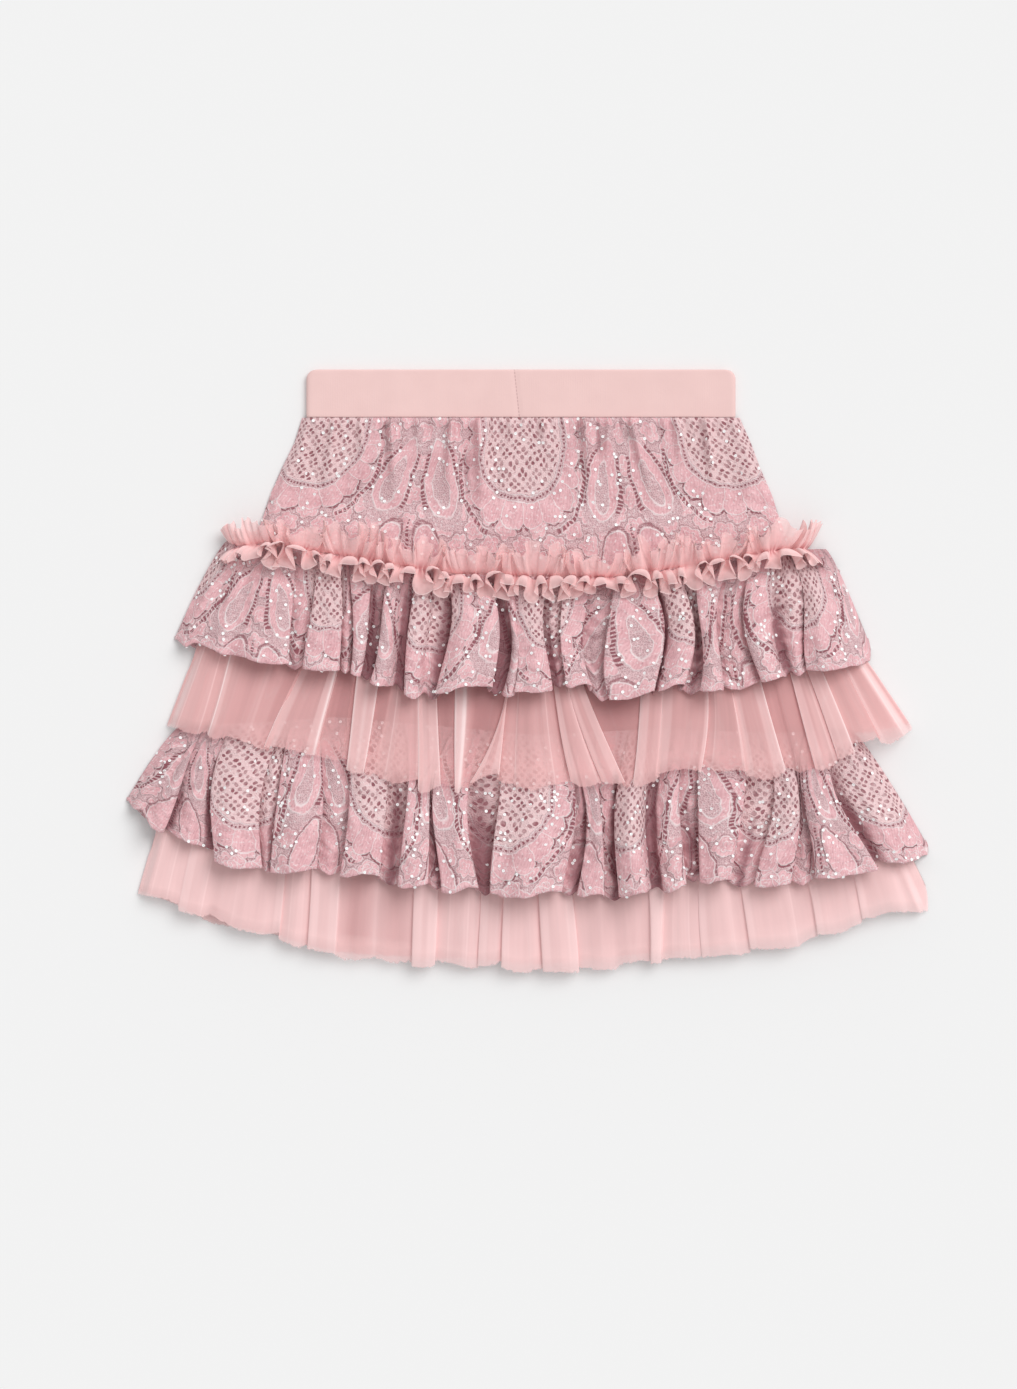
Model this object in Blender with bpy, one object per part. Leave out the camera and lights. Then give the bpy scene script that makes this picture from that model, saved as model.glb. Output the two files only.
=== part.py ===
"""A child's tiered skirt of lace and tulle, laid flat on its back.

Every cut piece is a wall of cloth with its own thickness, front and back.  Places are given in
millimetres: x across the skirt from its middle, "down" below the top edge of the waistband, and
z above the surface that it lies on.  A tier is gathered into its seam and falls in folds, so each
of its sections across is worked out from a table with one row for each fold.
"""

import math
from collections import namedtuple

import bmesh
import bpy

MM = 0.001

# Driving dimensions, in millimetres
CLOTH = 1.0                # thickness of each cloth wall
SEAM_GAP = 0.3             # clearance between two pieces
EDGE_GAP = 0.7             # the same along the sides of a tier, where the panels curl together
BAND_WIDTH = 268.0         # waistband, laid flat
BAND_DEPTH = 30.0
BAND_THICKNESS = 2.3       # one layer of the elastic in its casing
BAND_CORNER = 6.0          # radius of the band's upper corners
SIDE_TUCK = 5.0            # how far in from its side a front panel curls down to the back panel
EDGE_SLOPE = 30.0          # how far in from the outline the heap of layers reaches its full height
YOKE_STOP = 1.0            # how far the yoke stops above the seam that the ruche covers
VALLEY_DROP = 3.0          # how much further a valley of the cloth reaches than its crest
BACK_NARROWER = 1.0        # how far a back panel stays inside the sides of its front panel
BACK_SHORTER = 4.0         # how far the back hems stop above the front hems
STEEP = 0.22               # share of a fold's width taken by a side that hangs over its valley
GENTLE = 0.45              # share taken by a side that slopes freely
PLEAT_RISE = 0.8           # height of a pressed pleat in a back panel
BACK_FALL = 14.0           # length over which a back panel comes down onto the surface
RUCHE_REACH = 9.0          # half the width of the ruche behind, pressed flat
BACK_CLEAR = 1.0           # how far past a hem behind the next panel is still held up
RUFFLE_PITCH = 14.0        # one gather of the ruche
RUCHE_END = 40.0           # length over which the ruche comes down at its ends
RUCHE_BACK_HALF = 172.0    # half the length of the ruche behind
BASE_COLUMNS = 12
YOKE_COLUMNS = 14
RUCHE_COLUMNS = 24

# Named columns of the tables
Side = namedtuple("Side", "down left right")
Lie = namedtuple("Lie", "down middle side rise")
Line = namedtuple("Line", "x down")
Fold = namedtuple("Fold", "seam hem down rise over_left over_right")
Tier = namedtuple("Tier", "seam folds lie spread steps")
Flat = namedtuple("Flat", "down z")
Back = namedtuple("Back", "held cover pleats")
Frill = namedtuple("Frill", "x down lower upper")

# The widest outline of the whole skirt, from the waist to the hem
OUTLINE = (
    Side(30, -137, 137),
    Side(94, -163, 163),
    Side(122, -186, 192),
    Side(170, -218, 220),
    Side(224, -226, 246),
    Side(270, -248, 252),
    Side(300, -248, 256),
    Side(330, -248, 256),
)

# Seam that the ruche covers: the yoke ends and the first tiers begin
HIP_SEAM = (
    Line(-190, 106),
    Line(-160, 109),
    Line(-110, 117),
    Line(-44, 128),
    Line(30, 130),
    Line(60, 130),
    Line(112, 122),
    Line(160, 113),
    Line(192, 112),
)

# Seam of the second pair of tiers, under the first tulle
LOW_SEAM = (
    Line(-213, 223),
    Line(-190, 222),
    Line(-115, 217),
    Line(10, 228),
    Line(90, 224),
    Line(160, 227),
    Line(204, 224),
)

# Yoke: lace over the base, with a few soft creases
YOKE_SIDES = (
    Side(30.3, -136, 136),
    Side(46, -141, 143),
    Side(62, -149, 149),
    Side(78, -156, 156),
    Side(94, -161, 161),
    Side(132, -176, 176),
)
YOKE_FOLDS = (
    Fold(-136, -171, 0, 0.5, 0, 0),
    Fold(-82, -88, 0, 0.8, 0, 0),
    Fold(-44, -46, 0, 1.0, 0, 0),
    Fold(-27, -30, 0, 0.9, 0, 0),
    Fold(39, 34, 0, 0.8, 0, 0),
    Fold(67, 92, 0, 0.7, 0, 0),
    Fold(136, 171, 0, 0, 0, 0),
)

LACE_1 = Tier(
    seam=HIP_SEAM,
    folds=(
        Fold(-183, -216, 171, 0.0, 0, 0),
        Fold(-172, -200, 179, 0.75, 0, 5),
        Fold(-138, -140, 185, 0.1, 0, 0),
        Fold(-131, -137, 186, 0.9, 5, 2),
        Fold(-86, -98, 191, 0.1, 0, 0),
        Fold(-79, -95, 195, 0.8, 5, 0),
        Fold(-62, -73, 203, 0.6, 3, 0),
        Fold(-43, -53, 198, 1.0, 6, 3),
        Fold(-15, -14, 201, 0.4, 2, 1),
        Fold(-2, -5, 199, 0.85, 4, 0),
        Fold(22, 25, 196, 0.7, 3, 3),
        Fold(46, 46, 204, 0.05, 0, 0),
        Fold(56, 52, 205, 0.9, 4, 3),
        Fold(79, 83, 199, 0.9, 2, 4),
        Fold(102, 104, 199, 0.1, 0, 0),
        Fold(109, 108, 200, 1.0, 4, 5),
        Fold(137, 127, 197, 0.3, 0, 0),
        Fold(152, 153, 192, 0.85, 5, 0),
        Fold(168, 177, 184, 0.6, 4, 0),
        Fold(190, 218, 173, 0.0, 0, 0),
    ),
    lie=(
        Lie(104, 11.0, 7.6, 0.8),
        Lie(125, 11.2, 7.6, 1.6),
        Lie(145, 12.0, 7.8, 7.0),
        Lie(165, 13.0, 8.0, 12.0),
        Lie(180, 14.6, 8.4, 14.0),
        Lie(212, 21.8, 10.5, 13.5),
    ),
    spread=0.8,
    steps=(0.0, 0.2, 0.5, 1.0),
)

TULLE_1 = Tier(
    seam=HIP_SEAM,
    folds=(
        Fold(-177, -221, 225, 0.5, 0, 0),
        Fold(-151, -197, 231, 0.9, 5, 5),
        Fold(-110, -162, 236, 0.7, 0, 4),
        Fold(-99, -123, 244, 0.1, 0, 0),
        Fold(-91, -108, 249, 0.6, 2, 0),
        Fold(-79, -96, 255, 0.9, 4, 3),
        Fold(-47, -48, 260, 0.05, 0, 0),
        Fold(-41, -43, 263, 0.7, 2, 2),
        Fold(-32, -32, 260, 0.05, 0, 0),
        Fold(-9, -27, 257, 1.0, 5, 3),
        Fold(4, 26, 257, 0.8, 4, 4),
        Fold(22, 66, 261, 0.05, 0, 0),
        Fold(70, 71, 255, 0.7, 3, 1),
        Fold(79, 82, 249, 1.0, 2, 4),
        Fold(92, 154, 253, 0.7, 3, 3),
        Fold(120, 179, 251, 0.1, 0, 0),
        Fold(131, 187, 243, 0.8, 5, 0),
        Fold(150, 207, 232, 0.5, 3, 0),
        Fold(170, 244, 225, 0.0, 0, 0),
    ),
    lie=(
        Lie(104, 9.3, 6.2, 0.3),
        Lie(165, 9.3, 6.2, 1.0),
        Lie(182, 9.4, 6.2, 2.4),
        Lie(216, 14.0, 9.0, 6.0),
        Lie(250, 17.0, 11.4, 9.5),
        Lie(268, 19.4, 11.4, 10.0),
    ),
    spread=1.0,
    steps=(0.0, 0.42, 0.7, 1.0),
)

LACE_2 = Tier(
    seam=LOW_SEAM,
    folds=(
        Fold(-213, -246, 272, 0.0, 0, 0),
        Fold(-206, -236, 283, 0.5, 0, 0),
        Fold(-196, -221, 294, 0.6, 0, 2),
        Fold(-180, -191, 308, 0.7, 2, 2),
        Fold(-144, -158, 311, 0.9, 5, 4),
        Fold(-124, -126, 312, 0.05, 0, 0),
        Fold(-108, -113, 314, 0.8, 4, 2),
        Fold(-89, -86, 319, 0.05, 0, 0),
        Fold(-73, -80, 320, 0.9, 5, 2),
        Fold(-49, -57, 322, 0.05, 0, 0),
        Fold(-40, -51, 323, 0.8, 5, 2),
        Fold(-23, -25, 325, 0.1, 0, 0),
        Fold(-12, -18, 325, 1.0, 5, 4),
        Fold(26, 44, 325, 0.6, 2, 0),
        Fold(45, 54, 330, 0.05, 0, 0),
        Fold(69, 60, 323, 1.0, 5, 0),
        Fold(91, 84, 324, 0.7, 2, 3),
        Fold(112, 111, 317, 0.9, 4, 4),
        Fold(136, 131, 320, 0.1, 0, 0),
        Fold(147, 144, 320, 0.7, 2, 4),
        Fold(164, 170, 318, 0.1, 0, 0),
        Fold(177, 182, 313, 0.8, 3, 3),
        Fold(193, 222, 305, 0.6, 4, 0),
        Fold(204, 254, 299, 0.0, 0, 0),
    ),
    lie=(
        Lie(214, 11.8, 8.6, 0.6),
        Lie(240, 11.8, 8.6, 1.6),
        Lie(264, 11.8, 8.6, 4.8),
        Lie(282, 12.0, 8.2, 10.0),
        Lie(300, 13.0, 8.2, 14.0),
        Lie(334, 16.0, 8.2, 15.0),
    ),
    spread=0.8,
    steps=(0.0, 0.33, 0.62, 1.0),
)

TULLE_2 = Tier(
    seam=LOW_SEAM,
    folds=(
        Fold(-203, -239, 329, 0.4, 0, 0),
        Fold(-186, -214, 341, 0.5, 2, 0),
        Fold(-174, -199, 352, 0.7, 0, 2),
        Fold(-134, -152, 360, 0.8, 3, 3),
        Fold(-118, -135, 364, 0.5, 0, 3),
        Fold(-103, -117, 369, 0.9, 3, 0),
        Fold(-60, -68, 371, 0.7, 2, 2),
        Fold(-46, -52, 372, 0.6, 2, 0),
        Fold(-25, -29, 372, 0.8, 2, 2),
        Fold(-8, -10, 374, 0.7, 0, 2),
        Fold(13, 15, 376, 0.9, 2, 3),
        Fold(32, 37, 373, 0.3, 0, 0),
        Fold(74, 85, 369, 0.8, 3, 2),
        Fold(87, 100, 367, 0.6, 0, 0),
        Fold(124, 142, 361, 0.8, 2, 0),
        Fold(157, 184, 351, 0.6, 2, 0),
        Fold(177, 212, 337, 0.5, 0, 0),
        Fold(195, 254, 326, 0.0, 0, 0),
    ),
    lie=(
        Lie(214, 10.0, 6.8, 0.3),
        Lie(284, 8.8, 6.4, 1.8),
        Lie(334, 8.6, 6.2, 5.6),
        Lie(356, 7.4, 5.6, 8.6),
        Lie(378, 5.4, 4.2, 9.5),
    ),
    spread=0.8,
    steps=(0.0, 0.4, 0.75, 1.0),
)

# Back panels of the tiers: how high each is held by the piece that it lies on, and the tier
# (or None for the ruche) below whose hem it comes down onto the surface
LACE_1_BACK = Back(held=1.4, cover=None, pleats=7)
TULLE_1_BACK = Back(held=3.4, cover=LACE_1, pleats=7)
LACE_2_BACK = Back(held=2.2, cover=TULLE_1, pleats=8)
TULLE_2_BACK = Back(held=3.8, cover=LACE_2, pleats=8)

# Foundation of plain cloth, from the waistband nearly to the last hem
BASE_SIDES = (
    Side(30.3, -127, 127),
    Side(84, -146, 146),
    Side(100, -150, 148),
    Side(262, -199, 194),
    Side(330, -222, 230),
)
BASE_HEM = (
    Line(-224, 318),
    Line(-190, 338),
    Line(-130, 350),
    Line(-50, 359),
    Line(30, 361),
    Line(110, 355),
    Line(180, 343),
    Line(234, 318),
)
BASE_RISE = (
    Flat(30.3, 1.3),
    Flat(84, 1.3),
    Flat(100, 5.3),
)
BASE_LOW = 2.6             # its height beyond the hem of the second lace behind

# How high the yoke lies, behind and in front
YOKE_BACK = (
    Flat(30.3, 0.0),
    Flat(84, 0.0),
    Flat(100, 1.4),
)
YOKE_FRONT = (
    Flat(30.3, 4.0),
    Flat(84, 4.0),
    Flat(100, 8.4),
)
YOKE_CREASE = 1.4          # height of its soft creases
YOKE_ROWS = (30.3, 46, 62, 84, 100)

# Ruche: the stitched line down its middle and the reach of its two frills
RUCHE = (
    Frill(-189, 112, 8, 22),
    Frill(-160, 109, 10, 18),
    Frill(-110, 117, 12, 17),
    Frill(-44, 128, 13, 18),
    Frill(30, 130, 14, 17),
    Frill(60, 130, 13, 17),
    Frill(112, 122, 13, 16),
    Frill(160, 113, 12, 18),
    Frill(190, 113, 12, 16),
)
RUCHE_LINE_Z = 15.8        # height of the stitched line over the gathers
RUCHE_LOWER_Z = 21.6       # where the lower frill rides on the folds
RUCHE_UPPER_Z = 12.0       # where the upper frill lies on the yoke
RUCHE_SIDE_Z = 9.0         # height of its ends
RUCHE_WAVE = 4.0           # how high its gathers stand

COLOURS = {
    "waistband": (0.87, 0.62, 0.58, 1.0),
    "base": (0.42, 0.15, 0.16, 1.0),
    "yoke": (0.71, 0.45, 0.48, 1.0),
    "ruche": (0.84, 0.48, 0.47, 1.0),
    "lace": (0.72, 0.47, 0.50, 1.0),
    "tulle": (0.82, 0.55, 0.54, 1.0),
}


def mix(start, end, share):
    return start + (end - start) * share


def ease(share):
    """Smooth step from 0 to 1."""
    share = min(1.0, max(0.0, share))
    return share * share * (3.0 - 2.0 * share)


def read_table(rows, key, column, at):
    """Value of a column between two rows, by the row's key."""
    first = rows[0]
    if at <= getattr(first, key):
        return getattr(first, column)
    for lower, upper in zip(rows, rows[1:]):
        start = getattr(lower, key)
        end = getattr(upper, key)
        if at <= end:
            share = (at - start) / (end - start)
            return mix(getattr(lower, column), getattr(upper, column), share)
    return getattr(rows[-1], column)


def heap(x, down):
    """0 at the skirt's outline, 1 where the heap of layers has its full height."""
    left = read_table(OUTLINE, "down", "left", down)
    right = read_table(OUTLINE, "down", "right", down)
    return ease(min(x - left, right - x) / EDGE_SLOPE)


def fold_marks(fold):
    """Places across one fold, 0 to 1, that give it its shape."""
    if fold.rise < 0.2:
        return (0.0, 0.5)
    left = (0.5 * STEEP, STEEP) if fold.over_left else (0.25,)
    right = (1.0 - STEEP, 1.0 - 0.5 * STEEP) if fold.over_right else (0.75,)
    return (0.0, *left, 0.5, *right)


def fold_height(fold, place):
    """Height of the fold's wall at a place across it, as a share of its rise."""
    left = STEEP if fold.over_left else GENTLE
    right = STEEP if fold.over_right else GENTLE
    up = math.sin(0.5 * math.pi * min(1.0, place / left)) ** 2
    down = math.sin(0.5 * math.pi * min(1.0, (1.0 - place) / right)) ** 2
    dome = 0.86 + 0.14 * math.sin(math.pi * place)
    return up * down * dome


def fold_shift(fold, place, height):
    """How far the wall leans over the valley at its nearer side."""
    across = ease(place)
    return height * mix(-fold.over_left, fold.over_right, across)


def hem_depth(folds, index, place):
    """Depth of the hem, eased from the middle of one fold to the next."""
    here = folds[index].down
    if place < 0.5:
        other = folds[max(0, index - 1)].down
        return mix(here, other, 0.5 - place)
    other = folds[min(len(folds) - 1, index + 1)].down
    return mix(here, other, place - 0.5)


def offset_pair(path, half):
    """The two faces of a wall whose middle follows a path of (across, up) points."""
    upper = []
    lower = []
    last = len(path) - 1
    for index, point in enumerate(path):
        before = path[max(0, index - 1)]
        after = path[min(last, index + 1)]
        normal = bisector(before, point, after)
        upper.append((point[0] + normal[0] * half, point[1] + normal[1] * half))
        lower.append((point[0] - normal[0] * half, point[1] - normal[1] * half))
    return upper, lower


def bisector(before, point, after):
    """Direction square to a path at a point, lengthened a little at a bend."""
    normals = []
    for start, end in ((before, point), (point, after)):
        along = (end[0] - start[0], end[1] - start[1])
        length = math.hypot(*along)
        if length > 1e-6:
            normals.append((-along[1] / length, along[0] / length))
    across = sum(normal[0] for normal in normals)
    up = sum(normal[1] for normal in normals)
    length = math.hypot(across, up)
    across /= length
    up /= length
    bend = across * normals[0][0] + up * normals[0][1]
    stretch = min(1.35, 1.0 / max(0.3, bend))
    return across * stretch, up * stretch


def tier_side(tier, index, step):
    """Where one side of a tier lies at a step of its drop: x and down."""
    row = tier.folds[index]
    x = mix(row.seam, row.hem, step ** tier.spread)
    seam = read_table(tier.seam, "x", "down", row.seam)
    return x, mix(seam, row.down, step)


def tier_edge(tier, back, index, step, before):
    """Height at which a side of a front panel meets the back panel, clear of it from the row before."""
    heights = [back_height(back, *tier_side(tier, index, at)) for at in (before, step)]
    return max(heights) + 1.5 * CLOTH + EDGE_GAP


def tier_point(tier, index, place, step, edges):
    """Middle of a front tier's wall: x, down and z at a place across one fold."""
    fold = tier.folds[index]
    following = tier.folds[index + 1]
    spread = step ** tier.spread
    left = mix(fold.seam, fold.hem, spread)
    right = mix(following.seam, following.hem, spread)
    x = mix(left, right, place)
    seam = read_table(tier.seam, "x", "down", mix(fold.seam, following.seam, place)) + 0.5 * SEAM_GAP
    height = fold_height(fold, place)
    hem = hem_depth(tier.folds, index, place) + VALLEY_DROP * (0.5 - height)
    down = mix(seam, hem, step)
    inside = heap(x, down)
    floor = mix(
        read_table(tier.lie, "down", "side", down),
        read_table(tier.lie, "down", "middle", down),
        inside,
    )
    rise = read_table(tier.lie, "down", "rise", down) * mix(0.35, 1.0, inside) * fold.rise
    swell = rise / max(row.rise for row in tier.lie)
    x += fold_shift(fold, place, height) * swell
    z = floor + 0.5 * CLOTH + rise * height
    from_left = x - tier_side(tier, 0, step)[0]
    from_right = tier_side(tier, -1, step)[0] - x
    edge = edges[0] if from_left < from_right else edges[1]
    return x, down, mix(edge, z, ease(min(from_left, from_right) / SIDE_TUCK))


def tier_rows(tier, back):
    """Upper and lower face of a front tier, one row of points for each of its steps."""
    rows = []
    befores = (tier.steps[0],) + tier.steps[:-1]
    for before, step in zip(befores, tier.steps):
        edges = [tier_edge(tier, back, index, step, before) for index in (0, -1)]
        line = []
        for index in range(len(tier.folds) - 1):
            for place in fold_marks(tier.folds[index]):
                line.append(tier_point(tier, index, place, step, edges))
        line.append(tier_point(tier, len(tier.folds) - 2, 1.0, step, edges))
        upper, lower = offset_pair([(x, z) for x, down, z in line], 0.5 * CLOTH)
        rows.append((
            [(x, point[1], z) for (x, z), point in zip(upper, line)],
            [(x, point[1], z) for (x, z), point in zip(lower, line)],
        ))
    return rows


def held_until(back, x):
    """Depth at which a back panel clears the hem of the piece that it lies on."""
    if back.cover is None:
        return read_table(HIP_SEAM, "x", "down", x) + RUCHE_REACH + BACK_CLEAR
    return read_table(back.cover.folds, "hem", "down", x) - BACK_SHORTER + BACK_CLEAR


def back_height(back, x, down):
    """Height of a back panel's underside: held up, then down on the surface."""
    return back.held * (1.0 - back_fall(back, x, down))


def back_fall(back, x, down):
    return min(1.0, max(0.0, (down - held_until(back, x)) / BACK_FALL))


def place_mm(x, down, z):
    return (x * MM, -down * MM, z * MM)


def add_object(name, rows, colour):
    """Close a wall from its rows of upper and lower points, and make it an object."""
    mesh = bpy.data.meshes.new(name)
    body = bmesh.new()
    upper = [[body.verts.new(place_mm(*point)) for point in row[0]] for row in rows]
    lower = [[body.verts.new(place_mm(*point)) for point in row[1]] for row in rows]
    last = len(upper[0]) - 1
    for near, far in zip(range(len(rows) - 1), range(1, len(rows))):
        for index in range(last):
            body.faces.new((upper[near][index], upper[far][index],
                            upper[far][index + 1], upper[near][index + 1]))
            body.faces.new((lower[near][index], lower[near][index + 1],
                            lower[far][index + 1], lower[far][index]))
        body.faces.new((upper[near][0], lower[near][0], lower[far][0], upper[far][0]))
        body.faces.new((upper[near][last], upper[far][last], lower[far][last], lower[near][last]))
    for index in range(last):
        body.faces.new((upper[0][index], upper[0][index + 1],
                        lower[0][index + 1], lower[0][index]))
        body.faces.new((upper[-1][index], lower[-1][index],
                        lower[-1][index + 1], upper[-1][index + 1]))
    bmesh.ops.triangulate(body, faces=body.faces[:])
    bmesh.ops.recalc_face_normals(body, faces=body.faces[:])
    body.to_mesh(mesh)
    body.free()
    return finish_object(name, mesh, colour)


def finish_object(name, mesh, colour):
    """Link a mesh with its own material, shaded smooth between sharp edges."""
    item = bpy.data.objects.new(name, mesh)
    bpy.context.scene.collection.objects.link(item)
    material = bpy.data.materials.new(name + "_cloth")
    material.use_nodes = True
    shader = material.node_tree.nodes["Principled BSDF"]
    shader.inputs["Base Color"].default_value = COLOURS[colour]
    shader.inputs["Roughness"].default_value = 0.85
    shader.inputs["Metallic"].default_value = 0.0
    mesh.materials.append(material)
    mesh.shade_smooth()
    mesh.set_sharp_from_angle(angle=math.radians(50))
    return item


def front_tier(name, tier, back, colour):
    return add_object(name, tier_rows(tier, back), colour)


def back_tier(name, tier, back, colour):
    """Back panel of a tier: over the piece that it lies on, then flat between pressed pleats."""
    columns = [back_column(tier, back, *place) for place in pleat_places(back.pleats)]
    rows = []
    for line in zip(*columns):
        rows.append(([(x, down, z + CLOTH) for x, down, z in line], list(line)))
    return add_object(name, rows, colour)


def back_column(tier, back, across, crest):
    """Points of a back panel's underside from its seam to its hem, at a share across it."""
    seam_x = mix(tier.folds[0].seam + BACK_NARROWER, tier.folds[-1].seam - BACK_NARROWER, across)
    hem_x = mix(tier.folds[0].hem + BACK_NARROWER, tier.folds[-1].hem - BACK_NARROWER, across)
    seam = read_table(tier.seam, "x", "down", seam_x) + 0.5 * SEAM_GAP
    hem = read_table(tier.folds, "hem", "down", hem_x) - BACK_SHORTER
    held = max(seam + 2.0, held_until(back, mix(seam_x, hem_x, 0.6)))
    column = []
    for down, fall in ((seam, 0.0), (held, 0.0), (held + BACK_FALL, 1.0), (hem, 1.0)):
        share = (down - seam) / (hem - seam)
        x = mix(seam_x, hem_x, share ** tier.spread)
        ridge = crest * mix(0.25, 1.0, fall) * PLEAT_RISE
        column.append((x, down, back.held * (1.0 - fall) + ridge))
    return column


def pleat_places(count):
    """Places across a back panel, 0 to 1, each with its share of the pleat's height."""
    places = [(0.0, 0.0)]
    for number in range(count):
        middle = (number + 0.5 + 0.18 * math.sin(2.4 * number)) / count
        half = 0.16 / count
        places.extend(((middle - half, 0.0), (middle, 1.0), (middle + half, 0.0)))
    places.append((1.0, 0.0))
    return places


def make_base(name, lift, shorter):
    """Plain foundation panel, over the pieces behind it and down beyond their hems."""
    grid = [base_column(number / BASE_COLUMNS, lift, shorter) for number in range(BASE_COLUMNS + 1)]
    rows = []
    for line in zip(*grid):
        rows.append(([(x, down, z + CLOTH) for x, down, z in line], list(line)))
    return add_object(name, rows, "base")


def base_column(share, lift, shorter):
    """Points of a foundation panel from the waistband to its hem, at a share across it."""
    last = BASE_SIDES[-1]
    across = mix(last.left, last.right, share)
    hem = read_table(BASE_HEM, "x", "down", across) - shorter
    held = min(read_table(LACE_2.folds, "hem", "down", across) + BACK_SHORTER, hem - BACK_SHORTER)
    high = BASE_RISE[-1].z
    depths = [(row.down, row.z) for row in BASE_RISE] + [(held, high), (hem, BASE_LOW)]
    column = []
    for down, z in depths:
        left = read_table(BASE_SIDES, "down", "left", down)
        right = read_table(BASE_SIDES, "down", "right", down)
        column.append((mix(left, right, share), down, z + lift))
    return column


def yoke_edge(depth):
    """Sides of the yoke at a depth; with none given, where its lower edge would end."""
    at = YOKE_SIDES[-1].down if depth is None else depth
    left = read_table(YOKE_SIDES, "down", "left", at)
    right = read_table(YOKE_SIDES, "down", "right", at)
    return left, right


def yoke_depth(depth, x):
    """A row's depth; with none given, just above the seam that the ruche covers."""
    return read_table(HIP_SEAM, "x", "down", x) - YOKE_STOP if depth is None else depth


def make_yoke_back():
    rows = []
    for depth in [row.down for row in YOKE_BACK] + [None]:
        left, right = yoke_edge(depth)
        row = []
        for number in range(YOKE_COLUMNS + 1):
            x = mix(left, right, number / YOKE_COLUMNS)
            down = yoke_depth(depth, x)
            row.append((x, down, read_table(YOKE_BACK, "down", "z", down)))
        rows.append(([(x, down, z + CLOTH) for x, down, z in row], row))
    return add_object("yoke_back", rows, "yoke")


def yoke_line(depth):
    """Places across the front yoke at a depth, each with the height of its crease."""
    at = YOKE_SIDES[-1].down if depth is None else depth
    share = (at - YOKE_SIDES[0].down) / (YOKE_SIDES[-1].down - YOKE_SIDES[0].down)
    left, right = yoke_edge(depth)
    first = mix(YOKE_FOLDS[0].seam, YOKE_FOLDS[0].hem, share)
    last = mix(YOKE_FOLDS[-1].seam, YOKE_FOLDS[-1].hem, share)
    line = []
    for fold, following in zip(YOKE_FOLDS, YOKE_FOLDS[1:]):
        start = mix(fold.seam, fold.hem, share)
        end = mix(following.seam, following.hem, share)
        for place in (0.0, 0.1, 0.5, 0.9):
            across = (mix(start, end, place) - first) / (last - first)
            line.append((mix(left, right, across), fold.rise * math.sin(math.pi * place)))
    line.append((right, 0.0))
    return line


def make_yoke_front():
    """Lace yoke over the base, with soft creases that run down from the waistband."""
    rows = []
    for depth in YOKE_ROWS + (None,):
        left, right = yoke_edge(depth)
        row = []
        for x, height in yoke_line(depth):
            down = yoke_depth(depth, x)
            z = read_table(YOKE_FRONT, "down", "z", down) + height * YOKE_CREASE
            edge = read_table(YOKE_BACK, "down", "z", down) + CLOTH + SEAM_GAP
            z = mix(edge, z, ease(min(x - left, right - x) / SIDE_TUCK))
            row.append((x, down, z))
        rows.append(([(x, down, z + CLOTH) for x, down, z in row], row))
    return add_object("yoke_front", rows, "yoke")


def ruche_row(share):
    """Points across one place of the ruche: lower edge, stitched line and upper edge."""
    first = RUCHE[0].x
    last = RUCHE[-1].x
    x = mix(first, last, share)
    gathers = round((last - first) / RUFFLE_PITCH)
    turn = share * gathers
    wave = 0.5 - 0.5 * math.cos(2.0 * math.pi * turn)
    sway = math.sin(2.0 * math.pi * turn * 0.37 + 1.0)
    line = read_table(RUCHE, "x", "down", x)
    inside = ease(min(x - first, last - x) / RUCHE_END)
    lower = read_table(RUCHE, "x", "lower", x) * (0.86 + 0.14 * sway)
    upper = read_table(RUCHE, "x", "upper", x) * (0.9 + 0.1 * math.sin(turn * 2.1))
    lift = RUCHE_WAVE * wave
    return (
        (x + 1.5 * sway, line + lower, mix(RUCHE_SIDE_Z, RUCHE_LOWER_Z, inside) + lift),
        (x, line, mix(RUCHE_SIDE_Z, RUCHE_LINE_Z, inside)),
        (x - 1.5 * sway, line - upper, mix(RUCHE_SIDE_Z, RUCHE_UPPER_Z, inside) + lift),
    )


def make_ruche_front():
    """Double-edged gathered strip: each gather rises to both of its edges."""
    gathers = round((RUCHE[-1].x - RUCHE[0].x) / RUFFLE_PITCH)
    columns = [ruche_row(number / (3.0 * gathers)) for number in range(3 * gathers + 1)]
    rows = []
    for across in range(3):
        row = [column[across] for column in columns]
        rows.append(([(x, down, z + CLOTH) for x, down, z in row], row))
    return add_object("ruche_front", rows[::-1], "ruche")


def make_ruche_back():
    """The same strip behind, pressed flat under the skirt."""
    rows = []
    for side in (-1, 0, 1):
        row = []
        for number in range(RUCHE_COLUMNS + 1):
            x = mix(-RUCHE_BACK_HALF, RUCHE_BACK_HALF, number / RUCHE_COLUMNS)
            line = read_table(RUCHE, "x", "down", x)
            row.append((x, line + side * RUCHE_REACH, 0.0))
        rows.append(([(x, down, z + CLOTH) for x, down, z in row], row))
    return add_object("ruche_back", rows, "ruche")


def band_outline():
    """Outline of the flat waistband, its two upper corners rounded."""
    half = 0.5 * BAND_WIDTH
    points = [(-half, BAND_DEPTH), (half, BAND_DEPTH)]
    for centre, start in ((half - BAND_CORNER, 0.0), (-half + BAND_CORNER, 90.0)):
        for step in range(7):
            angle = math.radians(start + 15.0 * step)
            points.append((centre + BAND_CORNER * math.cos(angle),
                           BAND_CORNER - BAND_CORNER * math.sin(angle)))
    return points


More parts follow.
